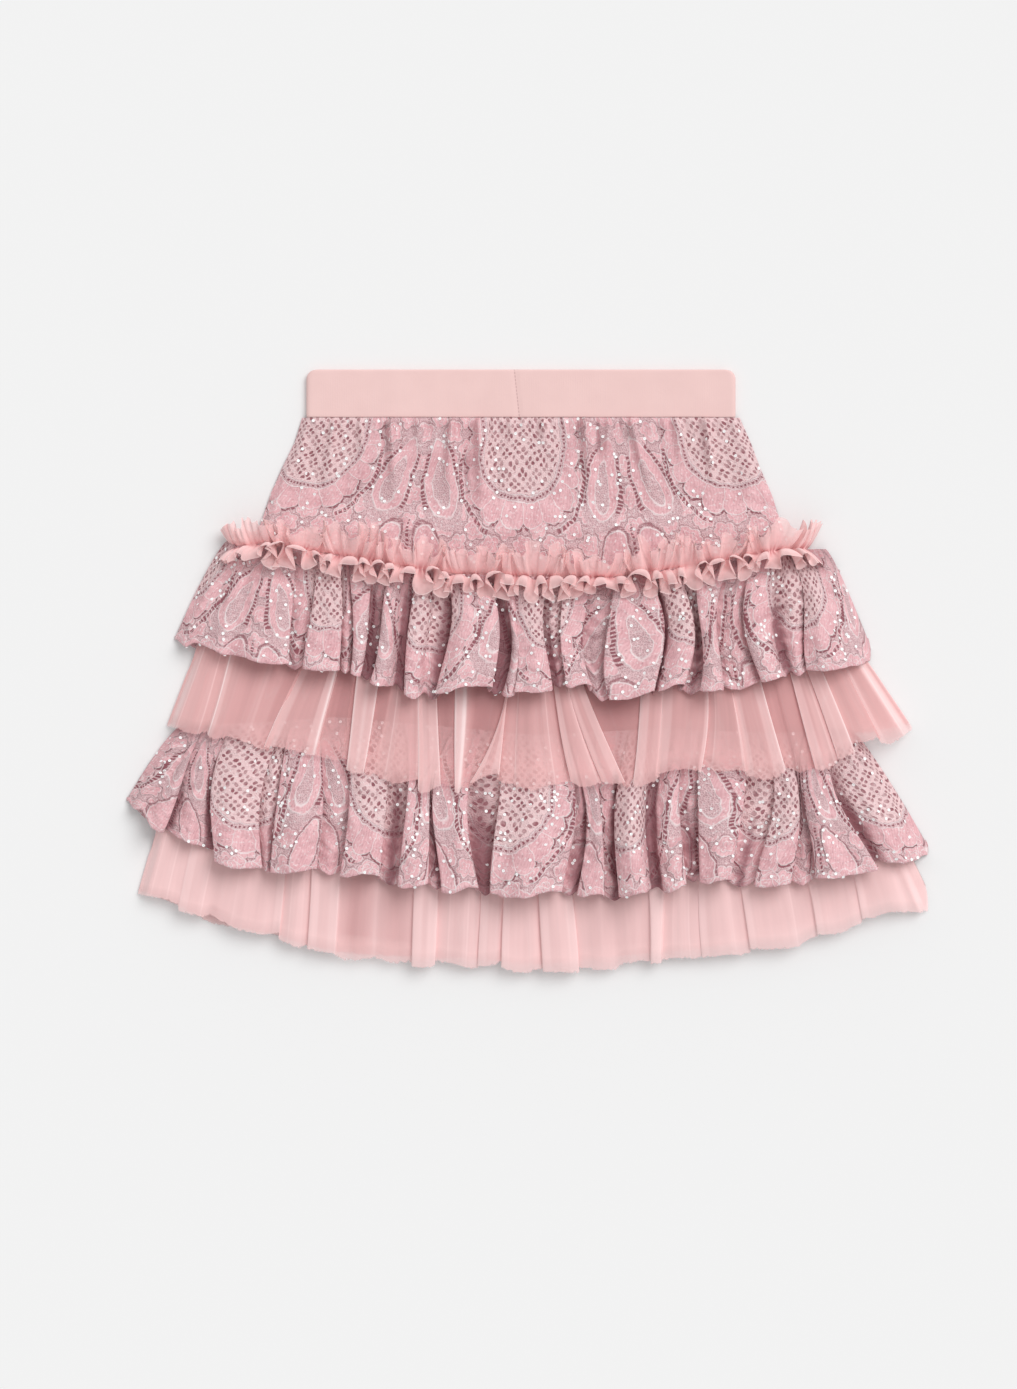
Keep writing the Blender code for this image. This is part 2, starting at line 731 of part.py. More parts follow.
def make_waistband(name, floor):
    """One half of the elastic band, its edges softly rounded."""
    mesh = bpy.data.meshes.new(name)
    body = bmesh.new()
    ring = [body.verts.new(place_mm(x, down, floor)) for x, down in band_outline()]
    face = body.faces.new(ring)
    pulled = bmesh.ops.extrude_face_region(body, geom=[face])
    raised = [item for item in pulled["geom"] if isinstance(item, bmesh.types.BMVert)]
    bmesh.ops.translate(body, vec=(0.0, 0.0, BAND_THICKNESS * MM), verts=raised)
    bmesh.ops.recalc_face_normals(body, faces=body.faces[:])
    rim = [edge for edge in body.edges if abs(edge.verts[0].co.z - edge.verts[1].co.z) < 1e-7]
    top = [edge for edge in rim if edge.verts[0].co.z > (floor + 0.5 * BAND_THICKNESS) * MM]
    bmesh.ops.bevel(body, geom=top, offset=0.6 * MM, segments=2, affect='EDGES', profile=0.6)
    bmesh.ops.triangulate(body, faces=body.faces[:])
    body.to_mesh(mesh)
    body.free()
    return finish_object(name, mesh, "waistband")


def centre_on_origin(items):
    """Put the origin under the middle of the laid skirt, at the surface."""
    xs = [vertex.co.x for item in items for vertex in item.data.vertices]
    ys = [vertex.co.y for item in items for vertex in item.data.vertices]
    shift_x = -0.5 * (min(xs) + max(xs))
    shift_y = -0.5 * (min(ys) + max(ys))
    for item in items:
        for vertex in item.data.vertices:
            vertex.co.x += shift_x
            vertex.co.y += shift_y


def build():
    for item in list(bpy.data.objects):
        bpy.data.objects.remove(item, do_unlink=True)
    items = [
        make_waistband("waistband_back", 0.0),
        make_waistband("waistband_front", BAND_THICKNESS + SEAM_GAP),
        make_yoke_back(),
        make_base("base_back", 0.0, BACK_SHORTER),
        make_base("base_front", CLOTH + SEAM_GAP, 0.0),
        make_yoke_front(),
        make_ruche_back(),
        make_ruche_front(),
        back_tier("lace_tier_1_back", LACE_1, LACE_1_BACK, "lace"),
        back_tier("tulle_tier_1_back", TULLE_1, TULLE_1_BACK, "tulle"),
        back_tier("lace_tier_2_back", LACE_2, LACE_2_BACK, "lace"),
        back_tier("tulle_tier_2_back", TULLE_2, TULLE_2_BACK, "tulle"),
        front_tier("tulle_tier_1_front", TULLE_1, TULLE_1_BACK, "tulle"),
        front_tier("lace_tier_1_front", LACE_1, LACE_1_BACK, "lace"),
        front_tier("tulle_tier_2_front", TULLE_2, TULLE_2_BACK, "tulle"),
        front_tier("lace_tier_2_front", LACE_2, LACE_2_BACK, "lace"),
    ]
    centre_on_origin(items)


if __name__ == "__main__":
    build()
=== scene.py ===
"""Looks of a child's tiered skirt of lace and tulle, laid flat on its back.

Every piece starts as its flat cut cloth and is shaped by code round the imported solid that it
stands for.  Places are given in millimetres: x across the skirt from the middle of the waist,
"down" below the top edge of the waistband, and z above the surface that it lies on.
"""

import math
from collections import namedtuple

import bpy
import numpy as np
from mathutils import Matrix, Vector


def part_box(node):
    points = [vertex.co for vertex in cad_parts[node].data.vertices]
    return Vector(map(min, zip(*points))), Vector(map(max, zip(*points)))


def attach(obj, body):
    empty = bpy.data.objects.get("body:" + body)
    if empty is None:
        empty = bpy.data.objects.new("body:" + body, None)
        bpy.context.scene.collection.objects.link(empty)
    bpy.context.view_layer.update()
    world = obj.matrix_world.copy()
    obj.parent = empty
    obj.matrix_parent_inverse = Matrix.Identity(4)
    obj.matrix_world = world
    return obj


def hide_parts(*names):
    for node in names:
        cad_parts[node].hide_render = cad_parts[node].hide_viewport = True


bl_info = {
    "name": "Tiered Lace Skirt",
    "version": (1, 0, 0),
    "blender": (4, 5, 0),
    "location": "View3D > Sidebar > Skirt",
    "description": "Builds a child's tiered skirt of lace and tulle, laid flat, round its solids",
    "category": "Object",
}

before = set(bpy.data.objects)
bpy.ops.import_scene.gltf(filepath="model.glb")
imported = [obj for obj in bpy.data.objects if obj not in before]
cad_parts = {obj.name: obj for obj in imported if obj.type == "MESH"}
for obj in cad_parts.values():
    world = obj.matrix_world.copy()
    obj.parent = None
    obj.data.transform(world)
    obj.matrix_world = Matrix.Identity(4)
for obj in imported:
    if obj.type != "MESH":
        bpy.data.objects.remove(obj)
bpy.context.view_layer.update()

MM = 0.001

# Named columns of the tables
Side = namedtuple("Side", "down left right")
Lie = namedtuple("Lie", "down middle side rise")
Line = namedtuple("Line", "x down")
Fold = namedtuple("Fold", "seam hem down rise over_left over_right mouth bow", defaults=(0,))
Tier = namedtuple("Tier", "seam cut folds lie spread")
Back = namedtuple("Back", "held cover pleats")
Frill = namedtuple("Frill", "x down lower upper")
Crease = namedtuple("Crease", "x down length depth lean")
Style = namedtuple("Style", "reach high wave wave_end tilt tilt_end twist fall thin")
Hollow = namedtuple("Hollow", "reach start depth")
Roll = namedtuple("Roll", "down up cloth")
Climb = namedtuple("Climb", "down base yoke_front yoke_back")
Motif = namedtuple("Motif", "across down half tall", defaults=(0,))
Grain = namedtuple("Grain", "name size detail")
Cloth = namedtuple("Cloth", "pitch row gather gather_wave crease crease_wave crumple tucks "
                            "tuck_size wall lap crown drop wavy edge sway soften")
# Fold: x of its left foot at the seam and at the hem, depth of the hem, height as a share of the
# tier's rise, how far its two sides hang over, how far its mouth opens, and its bow to the right
# Lie: at a depth, height of the cloth below the folds in the middle and at the sides, and their rise
# Cloth: distance between its columns and rows; height and width of its gathers and creases; height
# of its crumples; distance and width of its tucks; share of a fold's cloth in a side that hangs
# over, how much of the overhang shows, roundness of the fold's top, dip of the hem at it, waves and
# points of the hem, sway of the folds, and how often the sheet is softened

# The widest outline of the whole skirt, from the waist to the hem
OUTLINE = (
    Side(30, -137, 137),
    Side(94, -163, 163),
    Side(122, -186, 192),
    Side(170, -218, 220),
    Side(224, -226, 246),
    Side(270, -248, 252),
    Side(300, -248, 256),
    Side(330, -248, 256),
)

# Seam that the ruche covers: the yoke ends and the first tiers begin
HIP_SEAM = (
    Line(-190, 106),
    Line(-160, 109),
    Line(-110, 117),
    Line(-44, 128),
    Line(30, 130),
    Line(60, 130),
    Line(112, 122),
    Line(160, 113),
    Line(192, 112),
)

# Seam of the second pair of tiers, under the first tulle
LOW_SEAM = (
    Line(-213, 223),
    Line(-190, 222),
    Line(-115, 217),
    Line(10, 228),
    Line(90, 224),
    Line(160, 227),
    Line(204, 224),
)

YOKE_SIDES = (
    Side(30.0, -136, 136),
    Side(46, -141, 143),
    Side(62, -149, 149),
    Side(78, -156, 156),
    Side(94, -161, 161),
    Side(132, -176, 176),
)

# Soft rolls of lace that fall from the waist seam down the yoke
YOKE_CREASES = (
    Crease(-118, 34, 50, 1.6, -0.10),
    Crease(-101, 31, 36, 1.4, 0.05),
    Crease(-82, 29, 66, 2.8, 0.04),
    Crease(-64, 29, 32, 1.5, -0.05),
    Crease(-44, 29, 60, 2.6, -0.06),
    Crease(-27, 29, 68, 3.0, 0.03),
    Crease(-8, 29, 24, 1.2, 0.0),
    Crease(13, 29, 28, 1.3, 0.02),
    Crease(39, 29, 64, 3.0, 0.05),
    Crease(54, 33, 42, 1.6, -0.04),
    Crease(67, 29, 60, 2.6, 0.26),
    Crease(96, 30, 46, 1.8, 0.1),
    Crease(115, 32, 54, 2.2, 0.08),
)

LACE_1 = Tier(
    seam=HIP_SEAM,
    cut=78.0,
    folds=(
        Fold(-183, -216, 171, 0.1, 0, 0, 0),
        Fold(-174, -203, 178, 0.7, 0, 6, 0),
        Fold(-143, -143, 185, 0.1, 0, 0, 0),
        Fold(-129, -136, 186, 0.9, 4, 3, 5),
        Fold(-114, -112, 188, 0.35, 0, 0, 0),
        Fold(-107, -106, 189, 0.8, 3, 3, 0),
        Fold(-89, -99, 191, 0.05, 0, 0, 0),
        Fold(-80, -94, 195, 0.8, 4, 0, 3, 2),
        Fold(-70, -78, 199, 0.1, 0, 0, 0, 3),
        Fold(-66, -73, 203, 0.6, 3, 0, 0, 3),
        Fold(-55, -60, 203, 0.1, 0, 0, 0, 4),
        Fold(-47, -54, 198, 1.0, 6, 5, 9, 4),
        Fold(-20, -17, 201, 0.1, 0, 0, 0),
        Fold(-11, -12, 201, 0.6, 2, 0, 0),
        Fold(-2, -5, 199, 0.85, 4, 3, 0),
        Fold(19, 20, 196, 0.1, 0, 0, 0),
        Fold(26, 27, 196, 0.7, 3, 4, 8, 5),
        Fold(42, 45, 204, 0.05, 0, 0, 0),
        Fold(57, 54, 205, 0.9, 5, 3, 9, -6),
        Fold(79, 83, 199, 0.9, 0, 6, 9),
        Fold(99, 102, 199, 0.05, 0, 0, 0),
        Fold(110, 110, 200, 1.0, 5, 4, 3),
        Fold(132, 126, 197, 0.2, 0, 0, 0),
        Fold(144, 148, 192, 0.85, 5, 0, 5),
        Fold(158, 166, 188, 0.35, 0, 0, 0),
        Fold(165, 176, 184, 0.7, 4, 0, 0),
        Fold(190, 218, 173, 0.0, 0, 0, 0),
    ),
    lie=(
        Lie(104, 10.6, 7.8, 1.6),
        Lie(125, 10.8, 7.8, 4.2),
        Lie(145, 11.4, 8.0, 10.0),
        Lie(165, 12.8, 8.2, 14.0),
        Lie(180, 14.4, 8.6, 15.0),
        Lie(212, 21.8, 10.5, 13.5),
    ),
    spread=0.8,
)

TULLE_1 = Tier(
    seam=HIP_SEAM,
    cut=132.0,
    folds=(
        Fold(-177, -221, 225, 0.5, 0, 0, 0),
        Fold(-158, -197, 230, 0.8, 4, 0, 0),
        Fold(-120, -164, 236, 0.25, 0, 0, 0),
        Fold(-112, -159, 237, 0.75, 4, 4, 0),
        Fold(-96, -126, 243, 0.12, 0, 0, 0, -2),
        Fold(-93, -108, 249, 0.7, 3, 3, 0),
        Fold(-84, -97, 254, 0.15, 0, 0, 0, 4),
        Fold(-74, -92, 256, 0.6, 0, 4, 0, 4),
        Fold(-60, -62, 260, 0.85, 4, 4, 3),
        Fold(-49, -49, 261, 0.1, 0, 0, 0),
        Fold(-43, -42, 263, 0.75, 3, 3, 2),
        Fold(-33, -35, 259, 0.05, 0, 0, 0),
        Fold(-14, -33, 256, 0.95, 6, 4, 9, 13),
        Fold(-3, -13, 261, 0.9, 0, 0, 2),
        Fold(8, 30, 256, 0.8, 5, 0, 0),
        Fold(16, 50, 260, 0.85, 5, 6, 5, -3),
        Fold(26, 66, 260, 0.14, 0, 0, 0, -3),
        Fold(78, 68, 257, 0.8, 4, 0, 0, 3),
        Fold(86, 84, 251, 0.7, 4, 5, 3),
        Fold(96, 114, 249, 0.75, 0, 4, 0, 8),
        Fold(108, 141, 252, 0.8, 5, 4, 3, 4),
        Fold(124, 165, 251, 0.24, 0, 0, 0, 4),
        Fold(146, 182, 248, 0.8, 5, 0, 0, 2),
        Fold(154, 196, 240, 0.6, 4, 4, 3),
        Fold(160, 208, 232, 0.3, 0, 0, 0),
        Fold(165, 222, 230, 0.6, 4, 0, 0),
        Fold(170, 244, 225, 0.0, 0, 0, 0),
    ),
    lie=(
        Lie(104, 9.2, 6.4, 0.3),
        Lie(165, 9.2, 6.4, 1.4),
        Lie(182, 9.8, 6.4, 1.8),
        Lie(216, 15.2, 9.0, 2.6),
        Lie(250, 20.0, 12.0, 3.2),
        Lie(268, 22.8, 12.4, 3.4),
    ),
    spread=1.0,
)

LACE_2 = Tier(
    seam=LOW_SEAM,
    cut=98.0,
    folds=(
        Fold(-213, -246, 272, 0.1, 0, 0, 0),
        Fold(-206, -236, 283, 0.5, 0, 3, 0),
        Fold(-196, -221, 294, 0.45, 0, 0, 2),
        Fold(-180, -191, 308, 0.7, 4, 3, 0),
        Fold(-146, -160, 311, 0.25, 0, 0, 0),
        Fold(-142, -156, 311, 0.9, 4, 5, 5),
        Fold(-124, -126, 312, 0.05, 0, 0, 0),
        Fold(-109, -113, 314, 0.8, 5, 3, 7),
        Fold(-89, -87, 319, 0.05, 0, 0, 0),
        Fold(-73, -77, 320, 0.9, 6, 3, 5),
        Fold(-50, -57, 322, 0.05, 0, 0, 0),
        Fold(-41, -50, 323, 0.8, 5, 3, 7),
        Fold(-23, -26, 325, 0.1, 0, 0, 0),
        Fold(-13, -20, 325, 1.0, 5, 3, 3),
        Fold(22, 26, 325, 0.15, 0, 0, 0),
        Fold(28, 34, 325, 0.6, 4, 2, 6),
        Fold(46, 52, 330, 0.05, 0, 0, 0),
        Fold(68, 60, 323, 1.0, 7, 0, 3),
        Fold(91, 84, 324, 0.6, 0, 3, 5),
        Fold(105, 103, 317, 0.15, 0, 0, 0),
        Fold(112, 110, 317, 0.9, 4, 5, 6),
        Fold(136, 131, 320, 0.05, 0, 0, 0),
        Fold(147, 144, 320, 0.7, 3, 4, 3),
        Fold(164, 168, 318, 0.05, 0, 0, 0),
        Fold(177, 182, 313, 0.8, 4, 4, 2),
        Fold(193, 222, 305, 0.6, 0, 0, 0),
        Fold(204, 254, 299, 0.0, 0, 0, 0),
    ),
    lie=(
        Lie(214, 11.2, 8.8, 0.6),
        Lie(240, 11.2, 8.8, 4.0),
        Lie(264, 11.2, 8.8, 10.0),
        Lie(282, 11.6, 8.4, 14.0),
        Lie(300, 12.4, 8.4, 16.0),
        Lie(334, 15.6, 8.4, 16.0),
    ),
    spread=0.8,
)

TULLE_2 = Tier(
    seam=LOW_SEAM,
    cut=146.0,
    folds=(
        Fold(-203, -239, 329, 0.4, 0, 0, 0),
        Fold(-186, -214, 339, 0.5, 2, 0, 0),
        Fold(-166, -194, 350, 0.7, 0, 4, 0),
        Fold(-134, -150, 358, 0.5, 0, 0, 0),
        Fold(-120, -134, 364, 0.8, 4, 3, 0),
        Fold(-103, -115, 368, 0.16, 0, 0, 0),
        Fold(-82, -92, 370, 0.2, 0, 0, 0),
        Fold(-62, -69, 371, 0.9, 4, 3, 0),
        Fold(-48, -53, 372, 0.4, 0, 0, 0),
        Fold(-25, -28, 372, 0.7, 4, 0, 0),
        Fold(-8, -13, 374, 0.8, 4, 0, 0),
        Fold(13, 13, 376, 0.9, 3, 5, 0),
        Fold(32, 37, 373, 0.3, 0, 0, 0),
        Fold(74, 80, 369, 0.7, 3, 2, 0),
        Fold(83, 88, 368, 0.35, 0, 0, 0),
        Fold(100, 112, 366, 0.6, 3, 0, 0),
        Fold(124, 142, 361, 0.8, 4, 0, 0),
        Fold(157, 184, 351, 0.6, 3, 0, 0),
        Fold(177, 212, 339, 0.5, 3, 0, 0),
        Fold(195, 254, 326, 0.0, 0, 0, 0),
    ),
    lie=(
        Lie(214, 9.8, 7.0, 0.3),
        Lie(284, 8.8, 6.6, 1.4),
        Lie(334, 8.8, 6.4, 2.4),
        Lie(356, 8.0, 5.6, 2.9),
        Lie(378, 6.6, 4.2, 3.2),
    ),
    spread=0.8,
)

# Back panels: how high each is held by the piece that it lies on, and the tier (or None for the
# ruche) below whose hem it comes down onto the surface
LACE_1_BACK = Back(held=1.4, cover=None, pleats=7)
TULLE_1_BACK = Back(held=3.4, cover=LACE_1, pleats=7)
LACE_2_BACK = Back(held=2.2, cover=TULLE_1, pleats=8)
TULLE_2_BACK = Back(held=3.8, cover=LACE_2, pleats=8)

# How each kind of cloth gathers, creases and tucks; a tuck is a narrow fold laid over itself
LACE_CLOTH = Cloth(pitch=0.95, row=1.8, gather=2.0, gather_wave=7.5, crease=1.7, crease_wave=19.0,
                   crumple=1.8, tucks=0.0, tuck_size=0.0, wall=0.17, lap=1.0, crown=0.26, drop=5.0,
                   wavy=0.8, edge=0.5, sway=6.5, soften=3)
TULLE_CLOTH = Cloth(pitch=0.85, row=3.6, gather=0.8, gather_wave=6.0, crease=0.7, crease_wave=20.0,
                    crumple=0.0, tucks=34.0, tuck_size=6.0, wall=0.24, lap=0.7, crown=0.25, drop=3.6,
                    wavy=1.7, edge=0.0, sway=3.2, soften=3)
SKIRT_CLOTH = TULLE_CLOTH._replace(crease=0.7, tucks=0.0, wall=0.3, lap=0.5, drop=2.0, wavy=1.1)

# Foundation of plain cloth
BASE_SIDES = (
    Side(30.0, -127, 127),
    Side(84, -146, 146),
    Side(100, -150, 148),
    Side(262, -199, 194),
    Side(330, -222, 230),
)
BASE_HEM = (
    Line(-224, 318),
    Line(-190, 338),
    Line(-130, 350),
    Line(-50, 359),
    Line(30, 361),
    Line(110, 355),
    Line(180, 343),
    Line(234, 318),
)

# Ruche: the stitched line down its middle and the reach of its two frills
RUCHE = (
    Frill(-176, 111, 11, 14),
    Frill(-160, 109, 11, 16),
    Frill(-110, 117, 12, 17),
    Frill(-44, 128, 13, 18),
    Frill(30, 130, 14, 17),
    Frill(60, 130, 13, 17),
    Frill(112, 122, 13, 16),
    Frill(160, 113, 12, 17),
    Frill(176, 112, 11, 16),
)

# How each frill of the ruche stands: its reach as a share of the table's, its height, its waves in
# the middle and at the ends, how far they lie over, their twist and fall, and how thin the net is
LOWER_FRILL = Style(reach=0.66, high=12.5, wave=5.6, wave_end=5.6, tilt=62.0, tilt_end=62.0,
                    twist=-3.4, fall=3.4, thin=0.7)
UPPER_FRILL = Style(reach=0.86, high=8.0, wave=2.2, wave_end=3.5, tilt=34.0, tilt_end=58.0,
                    twist=-1.6, fall=5.6, thin=0.95)
RUCHE_HALF = RUCHE[-1].x   # half its length across the skirt
RUCHE_DEPTH = 34.0         # width of the strip, cut
RUCHE_ROWS = 12            # rows of points across each frill
RUCHE_TURN = 36            # columns that carry the strip round each end
RUCHE_REACH = 9.0          # half the width of the ruche behind, pressed flat
RUCHE_HEIGHT = 14.4        # height of the stitched line
RUCHE_END_HEIGHT = 9.0     # and at the ends
RUCHE_LEAST_HEIGHT = 7.0   # the frills in front come down no lower

BACK_NARROWER = 1.0        # how far a back panel stays inside the sides of its front panel
BACK_SHORTER = 4.0         # how far the back hems stop above the front hems
BACK_FALL = 14.0           # length over which a back panel comes down onto the surface
BACK_CLEAR = 1.0           # how far past a hem behind the next panel is still held up
PLEAT_RISE = 0.8           # height of a pressed pleat in a back panel
SIDE_TUCK = 6.0            # how far in from its side a front panel curls down to the back panel
FLOOR_CLEAR = 0.15         # nothing lies lower than this
EDGE_SLOPE = 30.0          # how far in from the outline the heap of layers reaches its full height
SLOPE = 0.4                # share of the cloth across a fold that is in a side that slopes freely
HALF_WALL = 0.5            # a sheet lies in the middle of its solid's wall
BACK_PITCH = 2.2           # how much wider apart the columns of a tier's back are
SEAM_SHADE = 0.55          # share of painted shade on the gathers at a tier's seam
SEAM_SHADE_REACH = 20.0

BAND_JOIN = 30.0           # depth at which the waistband ends
BASE_LENGTH = 322.0        # length of cloth from the waistband to the hem
BASE_GAP = 1.3             # how far the foundation's front lies above its back
BASE_WAVE = 0.25           # height of its slight waves
BASE_HEM_HEIGHT = 2.6      # height of its back at the hem
BASE_HELD = 4.0            # how far past the hem of lace tier 2 it starts to come down
YOKE_LENGTH = 96.0         # length of cloth from the waistband to the hip seam
YOKE_SIDE_GAP = 1.3        # how far the yoke's front lies above its back at its sides
YOKE_COLUMNS = 330
YOKE_BACK_COLUMNS = 150
YOKE_GATHER = 6.2          # width of a gather under the waistband
YOKE_GATHER_RISE = 0.8
YOKE_GATHER_REACH = 16.0   # how far down the gathers run
ROLL_RISE = 2.2            # height of a yoke crease for each unit of its depth

# How many columns away a fold still counts for the painted shade in a hollow, the depth below it
# where the painted shade starts, and how much deeper it is full
TIER_HOLLOW = Hollow(reach=20, start=1.6, depth=4.6)
YOKE_HOLLOW = Hollow(reach=7, start=0.6, depth=2.2)

# Rows that turn a hem under: the way down and up from it, and the length of cloth past it
HEM_ROLL = (
    Roll(0.35, -0.35, 0.5),
    Roll(0.1, -0.9, 1.0),
    Roll(-1.6, -1.0, 2.5),
)

# Heights of the foundation's back and the two sides of the yoke, which climb onto the tiers' seams
CLIMB = (
    Climb(30, 1.3, 4.4, 0.5),
    Climb(84, 1.3, 4.4, 0.5),
    Climb(100, 5.3, 8.9, 1.9),
)

BAND_HALF = 2.45           # half the thickness of the flattened waistband
BAND_WALL = 2.3            # thickness of the elastic and its cover
BAND_CORNER = 6.0          # radius of the waistband's upper corners
BAND_SEAM = -4.2           # x of the closing seam at the top edge
BAND_LEAN = 3.2            # how far the seam leans to the right over the waistband's depth

# Motifs of the lace on the flat cloth: their place from the middle of the repeat, half their width
# and half their height, and the sizes of the fan
REPEAT = 150.0
FAN = 29.0                 # radius of a fan of net
FAN_RIM = 4.0              # width of the ring of holes round it
LOBE = 9.11                # width of a petal round that
FAN_ABOVE_HEM = 58.0       # from the middle of a fan down to the hem of a tier
NET = 7.9                  # pitch of the groups of four holes in a fan
DROP = Motif(across=59.5, down=37.0, half=10.0, tall=25.0)
SLOT = Motif(across=0.0, down=4.0, half=4.6, tall=15.5)     # from the middle of the drop
LEAF = Motif(across=61.0, down=84.0, half=8.5, tall=17.0)
BUD = Motif(across=12.0, down=95.0, half=5.5)
SCALLOP = 12.8             # width of a scallop of the hem
STITCH = 1.9               # pitch of the rows of satin stitch in close cloth
MESH_CELL = 1.4706         # width of a cell of the ground, coarser than real ones so that it shows

# Uneven patches of each cloth: their size in millimetres and their detail
LACE_GRAIN = (
    Grain("drift", 45.455, 2.0),
    Grain("drift_down", 32.258, 2.0),
    Grain("shake", 6.25, 1.0),
    Grain("wobble", 16.129, 1.0),
    Grain("shake_down", 5.2632, 1.0),
    Grain("wobble_down", 14.085, 1.0),
    Grain("open", 5.8824, 1.0),
    Grain("weave", 2.381, 3.0),
    Grain("mottle", 11.111, 2.0),
    Grain("fleck", 1.6129, 2.0),
    Grain("pale", 1.8519, 2.0),
    Grain("felt", 7.6923, 2.0),
)
FRAY_GRAIN = (Grain("fray", 2.381, 1.0),)
LINING_GRAIN = (Grain("speck", 0.71429, 3.0),)
BAND_GRAIN = (Grain("patchy", 16.667, 2.0), Grain("knit", 1.1111, 3.0))
SILK_SCALE = (150.0, 9.0, 1.0)      # streaks in a metre of tulle: 6.7 mm wide and 111 mm long
CREASE_SCALE = (70.0, 6.0, 1.0)     # creases in a metre: 14 mm apart and 167 mm long
RUCHE_COVER = 0.72                  # share that one layer of the ruche's tulle hides

SEQUIN_RINGS = ((0.14, 0.02), (0.6, 0.0), (1.0, 0.1))     # share of the radius, and height
SEQUIN_CORNERS = 8

# Stage, in metres
FLOOR_SIZE = 8.0
WORLD_LIGHT = 0.6
SUN_LIGHT = 1.65
SUN_PLACE = (0.55, 0.62, 1.0)           # it shines from here towards the origin
CAMERA_LENS = 124.0
CAMERA_PLACE = (-0.0118, -0.0146, 2.99)


# --------------------------------------------------------------------------- arithmetic

def mix(start, end, share):
    """Value some share of the way from a start to an end."""
    return start + (end - start) * share


def ease(share):
    """Smooth step from 0 to 1."""
    share = np.clip(share, 0.0, 1.0)
    return share * share * (3.0 - 2.0 * share)


def column(rows, name):
    """All the values of one column of a table."""
    return np.array([getattr(row, name) for row in rows], float)


def look_up(rows, key, name, at):
    """Value of a column between two rows, by the row's key."""
    return np.interp(at, column(rows, key), column(rows, name))


def running(gone):
    """Length along a row of points, from the gaps between them."""
    return np.concatenate(([0.0], np.cumsum(gone)))


def ripple(along, across, wave, seed, parts=5):
    """Smooth uneven waves of about one length, from about -1 to 1."""
    draw = np.random.RandomState(seed)
    total = 0.0
    for _ in range(parts):
        angle = draw.uniform(-0.4, 0.4)
        size = wave * draw.uniform(0.7, 1.6)
        shift = draw.uniform(0.0, 2.0 * math.pi)
        total = total + np.sin(2.0 * math.pi * (along * math.cos(angle) + across * math.sin(angle))
                               / size + shift)
    return total / math.sqrt(parts)


def crinkle(along, across, wave, seed):
    """Rounded puffs of cloth with sharp creases between them, from about -0.5 to 1."""
    skew = 0.5 * wave * ripple(across, along, 2.0 * wave, seed + 60)
    first = np.abs(ripple(along + skew, 1.0 * across, wave, seed, 4))
    second = np.abs(ripple(0.8 * across, along, 1.3 * wave, seed + 30, 4))
    return np.minimum(first, second + 0.15) ** 0.8 - 0.45


def heap(x, down):
    """0 at the skirt's outline, 1 where the heap of layers has its full height."""
    left = look_up(OUTLINE, "down", "left", down)
    right = look_up(OUTLINE, "down", "right", down)
    return ease(np.minimum(x - left, right - x) / EDGE_SLOPE)


# --------------------------------------------------------------------------- cloth shapes

def fold_profile(place, left, right, over_left, over_right, wall, crown):
    """Path of the cloth across one fold: x, and height as a share of its rise.

    left and right are its feet.  A side with an overhang leans out over its foot; one without
    slopes freely."""
    wall_left = np.where(over_left > 0, wall, SLOPE)
    wall_right = np.where(over_right > 0, wall, SLOPE)
    width = right - left
    crest_left = np.where(over_left > 0, left - over_left, left + width * wall_left)
    crest_right = np.where(over_right > 0, right + over_right, right - width * wall_right)
    up = np.clip(place / wall_left, 0.0, 1.0)
    down = np.clip((1.0 - place) / wall_right, 0.0, 1.0)
    along = np.clip((place - wall_left) / (1.0 - wall_left - wall_right), 0.0, 1.0)
    x = mix(crest_left, crest_right, along)
    x = np.where(up < 1.0, mix(left, crest_left, up), x)
    x = np.where(down < 1.0, mix(right, crest_right, down), x)
    share = np.where(over_left > 0, up, ease(up)) * np.where(over_right > 0, down, ease(down))
    return x, share * (1.0 - crown + crown * np.sin(math.pi * along) ** 0.8)


def soften(part, times):
    """Round the bends of a sheet by averaging along its columns."""
    for _ in range(times):
        inner = 0.25 * part[:, :-2] + 0.5 * part[:, 1:-1] + 0.25 * part[:, 2:]
        part = np.concatenate((part[:, :1], inner, part[:, -1:]), axis=1)
    return part


def crease_height(creases, x, down):
    """Height of soft rolls of cloth, each steeper on one side, fading out down their length."""
    total = 0.0 * x * down
    for crease in creases:
        below = down - crease.down
        gone = below / crease.length
        fade = ease(1.0 - gone) * ease(gone * 8.0 + 1.0)
        width = mix(2.0, 4.6, np.clip(gone, 0.0, 1.0))
        off = (x - crease.x - crease.lean * below) / width
        total = total + ROLL_RISE * crease.depth * fade * (1.0 + 0.9 * off) * np.exp(-off * off)
    return total


def back_held(back, x):
    """Depth at which a back panel clears the hem of the piece that it lies on."""
    if back.cover is None:
        return look_up(HIP_SEAM, "x", "down", x) + RUCHE_REACH + BACK_CLEAR
    return look_up(back.cover.folds, "hem", "down", x) - BACK_SHORTER + BACK_CLEAR


def back_drop(back, x, down):
    """How far a back panel has come down onto the surface, from 0 to 1."""
    return np.clip((down - back_held(back, x)) / BACK_FALL, 0.0, 1.0)


